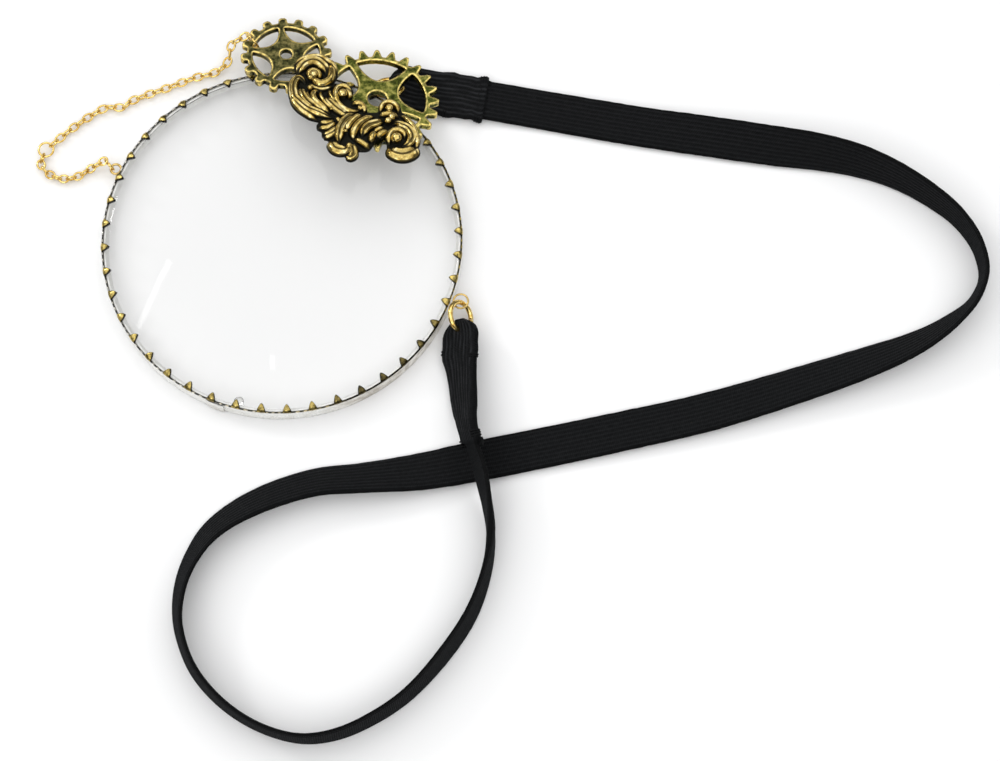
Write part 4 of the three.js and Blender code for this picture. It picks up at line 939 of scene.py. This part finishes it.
def strap_section(width, thickness, doubled, wander, mark):
    """Outline of the elastic, and how strongly its rib crests are painted with highlight: ribbed faces, soft
    selvedges, and a groove along the edge where it lies double."""
    a, b = width / 2 + wander, thickness / 2
    rib = RIB_DEPTH * min(1.0, (width / RIBS_FADE_BELOW) ** 2)
    face, crests = [], []
    for k in range(RIB_STEPS * RIBS + 1):
        s = 1 - 2 * k / (RIB_STEPS * RIBS)
        drift = doubled * 0.1 * noise.noise((mark * 0.25, 2 * s, 4.0))
        crest = 0.5 - 0.5 * math.cos(2 * math.pi * RIBS * (s + drift + 1) / 2)
        # Painted highlight: the rib crests are lightened, more on the doubled ends.
        wear_and_painted_light = 0.3 + doubled * max(0.0, 0.45 + 1.3 * noise.noise((mark * 0.3, 4 * s, 9.0)))
        face.append((s * (a - SELVEDGE), b * (1 - 0.25 * abs(s) ** 10) + rib * (crest - 1)))
        crests.append(min(1.0, wear_and_painted_light * crest ** 3))
    edge = [(-a, 0.45 * b), (-a + 0.38 * doubled, 0.0), (-a, -0.45 * b)]
    crests += [0.0] * len(edge)
    half = face + edge
    return half + [(-x, -y) for x, y in half], crests * 2


marks = [*np.arange(0, strap_length, SECTION_PITCH), strap_length,
         upper_raw - 0.5, upper_raw, upper_raw + 0.12, lower_raw - 0.12, lower_raw, lower_raw + 0.5]
for tip in TIP_SECTIONS:
    marks += [tip, strap_length - tip]
marks = sorted({round(float(m), 3) for m in marks if m <= strap_length})
strap_points, strap_weave, strap_edge, strap_crest = [], [], [], []
for mark in marks:
    middle, across, face, heading = strap_frame(mark)
    width, thickness, doubled = strap_shape(mark)
    slip = RAW_SKEW * hump(mark, lower_raw, SKEW_LENGTH)
    wander = 0.07 * noise.noise((mark * 0.9, 0.3, 0.0)) + 0.05 * noise.noise((mark * 3.1, 5.0, 0.0))
    wander *= 1 + 1.5 * doubled
    section, crests = strap_section(width, thickness, doubled, wander, mark)
    strap_crest += crests
    around = 0.0
    for j, (side, level) in enumerate(section):
        if j:
            around += math.hypot(side - section[j - 1][0], level - section[j - 1][1])
        strap_points.append(middle + across * side + face * level - heading * slip * side / 4)
        strap_weave.append((around, mark))
        strap_edge.append((1 - 0.8 * doubled) * float(abs(side) > width / 2 - 0.5))

black_elastic, tree, surface = new_finish("black_elastic")
weave = add_node(tree, "ShaderNodeSeparateXYZ", {
    "Vector": add_node(tree, "ShaderNodeUVMap", uv_map="weave").outputs["UV"]})
picks = reckoned(tree, "MULTIPLY", weave.outputs["Y"], 2 * math.pi / PICK_PITCH)
ribs = reckoned(tree, "MULTIPLY", weave.outputs["X"], 2 * math.pi * RIBS / RIBBED_WIDTH)
slanted_picks = reckoned(tree, "SINE", reckoned(tree, "ADD", picks, ribs))
fluff = cloud(tree, 0.5, 5)
thread_height = reckoned(tree, "MULTIPLY_ADD", slanted_picks, 0.35, fluff)
yarn = ramp(tree, thread_height, (0.1, (0.0018, 0.002, 0.0023)), (0.6, (0.004, 0.0044, 0.0048)),
            (1.0, (0.009, 0.0095, 0.0102)))
lint = ramp(tree, cloud(tree, 0.3, 3), (0.7, 0.0), (0.8, 1.0))
fabric = mixed(tree, lint, yarn, (0.035, 0.036, 0.038))
# Painted highlight on the rib crests.
fabric = mixed(tree, attribute(tree, "crest"), fabric, (0.021, 0.022, 0.024))
dress(tree, surface,
      colour=mixed(tree, attribute(tree, "selvedge"), fabric, (0.0022, 0.0024, 0.0026)),
      roughness=ramp(tree, fluff, (0.3, 0.95), (0.7, 0.72)),
      relief=bumps(tree, thread_height, 0.55, 0.12))
surface.inputs["Sheen Weight"].default_value = 0.03
surface.inputs["Sheen Roughness"].default_value = 0.45
surface.inputs["Sheen Tint"].default_value = (0.75, 0.8, 0.86, 1)
surface.inputs["Specular IOR Level"].default_value = 0.1
strap_elastic = new_piece("strap_elastic", strap_points, faces_along(len(marks), len(section)),
                          "strap", "black_elastic", black_elastic)
stored(strap_elastic.data, "selvedge", strap_edge)
stored(strap_elastic.data, "crest", strap_crest)
weave_layer = strap_elastic.data.uv_layers.new(name="weave")
corner_point = np.empty(len(strap_elastic.data.loops), np.int32)
strap_elastic.data.loops.foreach_get("vertex_index", corner_point)
weave_layer.data.foreach_set("uv", np.array(strap_weave, np.float32)[corner_point].ravel())
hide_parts("strap_band", "strap_upper_end", "strap_lower_end")

# Stitches: black polyester thread. The raw end of each fold is sewn down with a short row across the strap
# and three turns over each edge, which pull it in and leave small knobs at the corners. A fringe of cut yarn
# stands at each raw end, and a few turns over the edge hold the doubled ends further on.
THREAD, THREAD_SIDES, THREAD_STEP = 0.3, 7, 0.25
THREAD_LOWEST = 0.02
ROW_STITCHES, ROW_START = 6, -2.9
FRINGE_YARNS, FRINGE_START, FRINGE_PITCH = 15, -3.9, 0.557


def stitch(points):
    """One length of thread through points, no part of it below the table."""
    line, run = through_points(points)
    rows = max(6, round(run[-1] / THREAD_STEP)) + 1
    spots = [Vector(p) for p in along(line, run, np.linspace(0, run[-1], rows))]
    made = []
    for i, spot in enumerate(spots):
        heading = (spots[min(i + 1, rows - 1)] - spots[max(i - 1, 0)]).normalized()
        side = heading.orthogonal().normalized()
        other = heading.cross(side)
        for j in range(THREAD_SIDES):
            turn = 2 * math.pi * j / THREAD_SIDES
            point = spot + (side * math.cos(turn) + other * math.sin(turn)) * THREAD / 2
            made.append((point.x, point.y, max(point.z, THREAD_LOWEST)))
    return made, faces_along(rows, THREAD_SIDES)


def edge_turn(distance, side):
    """One turn of thread over an edge of the doubled elastic, sunk into its faces at both ends."""
    middle, across, face, _ = strap_frame(distance)
    width, thickness, _ = strap_shape(distance)
    a, b = width / 2, thickness / 2
    return stitch([middle + across * side * s + face * level for s, level in (
        (a - 0.95, b - 0.12), (a - 0.4, b + 0.02), (a + 0.04, 0.25 * b),
        (a + 0.04, -0.25 * b), (a - 0.4, -b - 0.02), (a - 0.95, -b + 0.12))])


raw_ends = ((upper_raw, -1, 0.0), (lower_raw, 1, RAW_SKEW))
stitches = []
for raw, inward, _ in raw_ends:
    for side in (1, -1):
        stitches += [edge_turn(raw + inward * step, side) for step in (0.5, 1.0, 1.5)]
    for step in range(ROW_STITCHES):
        middle, across, face, _ = strap_frame(raw + inward * (1.1 + 0.35 * (step % 2)))
        level = strap_shape(raw + inward)[1] / 2
        stitches.append(stitch([middle + across * (ROW_START + step + s) + face * (level + h) for s, h in (
            (0.0, -0.2), (0.2, 0.0), (0.6, 0.0), (0.8, -0.2))]))
for raw, inward, skew in raw_ends:
    middle, across, face, heading = strap_frame(raw)
    for step in range(FRINGE_YARNS):
        aside = FRINGE_START + FRINGE_PITCH * step
        level = DOUBLED_THICKNESS / 2 - 0.35 + 0.12 * noise.noise((step * 2.3, raw, 1.0))
        spot = middle + across * aside - heading * skew * aside / 4
        reach = 0.55 + 0.5 * noise.noise((step * 1.9, 2.0, raw))
        stray = 0.35 * noise.noise((step * 1.3, raw, 6.0))
        stitches.append(stitch([
            spot + heading * inward * 0.8 + face * level, spot + face * level,
            spot - heading * inward * reach + across * stray + face * (level - 0.3)]))
for distance, side in ((upper_raw - UPPER_TACK, -1), (strap_length - LOWER_TACK - 1.2, 1),
                       (strap_length - LOWER_TACK + 0.9, -1)):
    stitches += [edge_turn(distance + shift, side) for shift in (-0.25, 0.25)]
black_thread, tree, surface = new_finish("black_thread")
dress(tree, surface,
      colour=ramp(tree, cloud(tree, 0.3, 4), (0.3, (0.002, 0.0022, 0.0024)), (0.7, (0.006, 0.0064, 0.0068))),
      roughness=ramp(tree, cloud(tree, 0.2, 4), (0.3, 0.9), (0.7, 0.7)),
      relief=bumps(tree, cloud(tree, 0.15, 3), 0.4, 0.05))
surface.inputs["Specular IOR Level"].default_value = 0.15
strap_stitches = new_piece("strap_stitches", *join_forms(stitches), "strap", "black_elastic", black_thread)

# Chain: fine gold cable chain of forty soldered oval links, every second one turned on edge, with a joining
# ring at its bend. One small ring holds it to the left gear's rim and another to the eye on the bezel.
LINK_WIRE, LINK_WIDTH, LINK_SLACK, LINK_HOOK = 0.44, 1.9, 0.03, 0.28
LINK_STEPS, LINK_SIDES = 28, 8
LINK_LEVEL = 0.975
UPPER_LINKS, LOWER_LINKS = 28, 12
SMALL_WIRE, SMALL_CUT = 0.45, 0.2
GEAR_RING, GEAR_RING_RADIUS = (-6.5993, 41.262, 4.8888), 1.8
BEZEL_RING, BEZEL_RING_RADIUS = (-34.3817, 16.3051, 2.1), 1.3
JOINING_RING, JOINING_RADIUS = (-47.1, 19.9, LINK_LEVEL), 1.45
SWING_UP = (-0.0548, -0.0505, 0.9972)
SWING_OUT = (-0.6776, 0.7355, 0.0)


def joining_side(degrees):
    x, y = polar(JOINING_RADIUS, degrees)
    return JOINING_RING[0] + x, JOINING_RING[1] + y, LINK_LEVEL


def laid(*spots):
    return [(x, y, LINK_LEVEL) for x, y in spots]


UPPER_RUN = (
    (-7.8189, 42.5858, 4.8888), (-10.9, 41, 3.4), (-11.6, 38.4, 1.8),
    *laid((-14, 36.4), (-18.2, 35.1), (-23.7, 32.9), (-28, 31.3), (-30.9, 30.0), (-32.2, 28.9), (-35.4, 28.8),
          (-38.3, 27.2), (-42.3, 24.2)),
    joining_side(42),
)
LOWER_RUN = (
    joining_side(250),
    *laid((-48, 17), (-46.6, 15), (-43.6, 13.8), (-40.6, 14.3), (-38.6, 15.6)),
    (-35.2625, 17.2612, 2.1),
)
links, chain_path = [], []
for run_points, count, flat_first in ((UPPER_RUN, UPPER_LINKS, True), (LOWER_RUN, LOWER_LINKS, False)):
    line, run = through_points(run_points)
    pitch = (run[-1] + 2 * LINK_HOOK) / count
    half_length = (pitch + LINK_WIRE + LINK_SLACK) / 2
    half_width = (LINK_WIDTH - LINK_WIRE) / 2
    reach = 0.3 * run[-1] / count
    for i in range(count):
        t = (i + 0.5) * pitch - LINK_HOOK
        spot, ahead, behind = (Vector(p) for p in along(line, run, [t, t + reach, t - reach]))
        heading = ahead - behind
        flat = Vector(UP).cross(heading).normalized()
        across = flat if (i % 2 == 0) == flat_first else heading.cross(flat).normalized()
        links.append(bent_wire(half_length, half_width, LINK_WIRE, spot, heading, across,
                               steps=LINK_STEPS, sides=LINK_SIDES))
    chain_path.extend(to_frame(p) for p in along(line, run, np.linspace(0, run[-1], 3 * count)))
chain_links = new_piece("chain_links", *join_forms(links), "chain", "bright_gold", bright_gold)
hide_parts(*(f"chain_link_{i + 1:02d}" for i in range(UPPER_LINKS + LOWER_LINKS)))
for name, node, radius, spot, x_way, y_way in (
    ("gear_end_ring", "chain_gear_ring", GEAR_RING_RADIUS, GEAR_RING, SWING_UP, SWING_OUT),
    ("bezel_end_ring", "chain_bezel_ring", BEZEL_RING_RADIUS, BEZEL_RING, SWING_UP, SWING_OUT),
    ("bend_ring", "chain_joining_ring", JOINING_RADIUS, JOINING_RING, (1, 1, 0), (-1, 1, 0)),
):
    ring = new_piece(name, *bent_wire(radius, radius, SMALL_WIRE, spot, x_way, y_way, SMALL_CUT / radius),
                     "chain", "bright_gold", bright_gold)
    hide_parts(node)

# Table: a plain matt white studio table top, on which the eyepiece and its strap and chain lie loose.
# It is a hair below the object, and wide enough to have no edge in view.
TABLE_HALF, TABLE_DROP = 2, 0.0001
table_mesh = bpy.data.meshes.new("table")
table_mesh.from_pydata([(x * TABLE_HALF, y * TABLE_HALF, -TABLE_DROP)
                        for x, y in ((-1, -1), (1, -1), (1, 1), (-1, 1))], [], [(0, 1, 2, 3)])
table = bpy.data.objects.new("table", table_mesh)
bpy.context.scene.collection.objects.link(table)
table_white, tree, surface = new_finish("table_white")
dress(tree, surface, colour=ramp(tree, cloud(tree, 60, 3), (0.3, 0.90), (0.7, 0.915)))
surface.inputs["Roughness"].default_value = 0.75
surface.inputs["Specular IOR Level"].default_value = 0.2
table.data.materials.append(table_white)

# Light: a broad even ceiling, a small lamp at the upper left for gloss on the metal, and a weak broad one in
# front, in an even pale room. A long narrow lamp draws the streak on the glass, and a small one the glint.
# Each lamp has its place, the spot that it is aimed at, its width and height in metres, and its watts.
ROOM_TONE, ROOM_STRENGTH = (0.97, 0.98, 1.0, 1), 0.2
LAMPS = (
    ("ceiling", (0.0, 0.5, 1.5), (0.0, 0.5, 0.0), 4.0, 4.0, 63.0),
    ("left_lamp", (-1.7, 1.0, 1.25), (0.03, -0.03, 0.0), 0.35, 0.35, 7.0),
    ("front_lamp", (-0.5, -1.5, 1.3), (0.03, -0.03, 0.0), 0.8, 0.8, 5.0),
    ("streak_lamp", (-0.4122, 0.161, 0.9045), (-0.0253, -0.0178, 0.005), 0.216, 0.013, 0.038),
    ("glint_lamp", (-0.0837, -0.0334, 0.9018), (-0.002, -0.0311, 0.0055), 0.036, 0.014, 0.0048),
)
room = bpy.data.worlds.new("room")
room.use_nodes = True
room.node_tree.nodes["Background"].inputs["Color"].default_value = ROOM_TONE
room.node_tree.nodes["Background"].inputs["Strength"].default_value = ROOM_STRENGTH
bpy.context.scene.world = room
for name, spot, target, width, height, power in LAMPS:
    lamp = bpy.data.lights.new(name, "AREA")
    lamp.shape = "RECTANGLE"
    lamp.size, lamp.size_y = width, height
    lamp.energy = power
    holder = bpy.data.objects.new(name, lamp)
    holder.location = spot
    holder.rotation_euler = (Vector(target) - Vector(spot)).to_track_quat("-Z", "Y").to_euler()
    bpy.context.scene.collection.objects.link(holder)

# Camera: nearly overhead and level with the strap's run, as the photograph was taken, with a long lens
# that hardly narrows what lies further off.
CAMERA_PLACE = (0.0416366, -0.197941, 0.554491)
CAMERA_ELEVATION = 73.45
camera_data = bpy.data.cameras.new("camera")
camera_data.sensor_fit = "HORIZONTAL"
camera_data.sensor_width = 36
camera_data.lens = 108
camera_data.clip_start = 0.01
camera = bpy.data.objects.new("camera", camera_data)
camera.location = CAMERA_PLACE
camera.rotation_euler = (math.radians(90 - CAMERA_ELEVATION), 0, 0)
bpy.context.scene.collection.objects.link(camera)
bpy.context.scene.camera = camera
bpy.context.scene.view_settings.view_transform = "Standard"
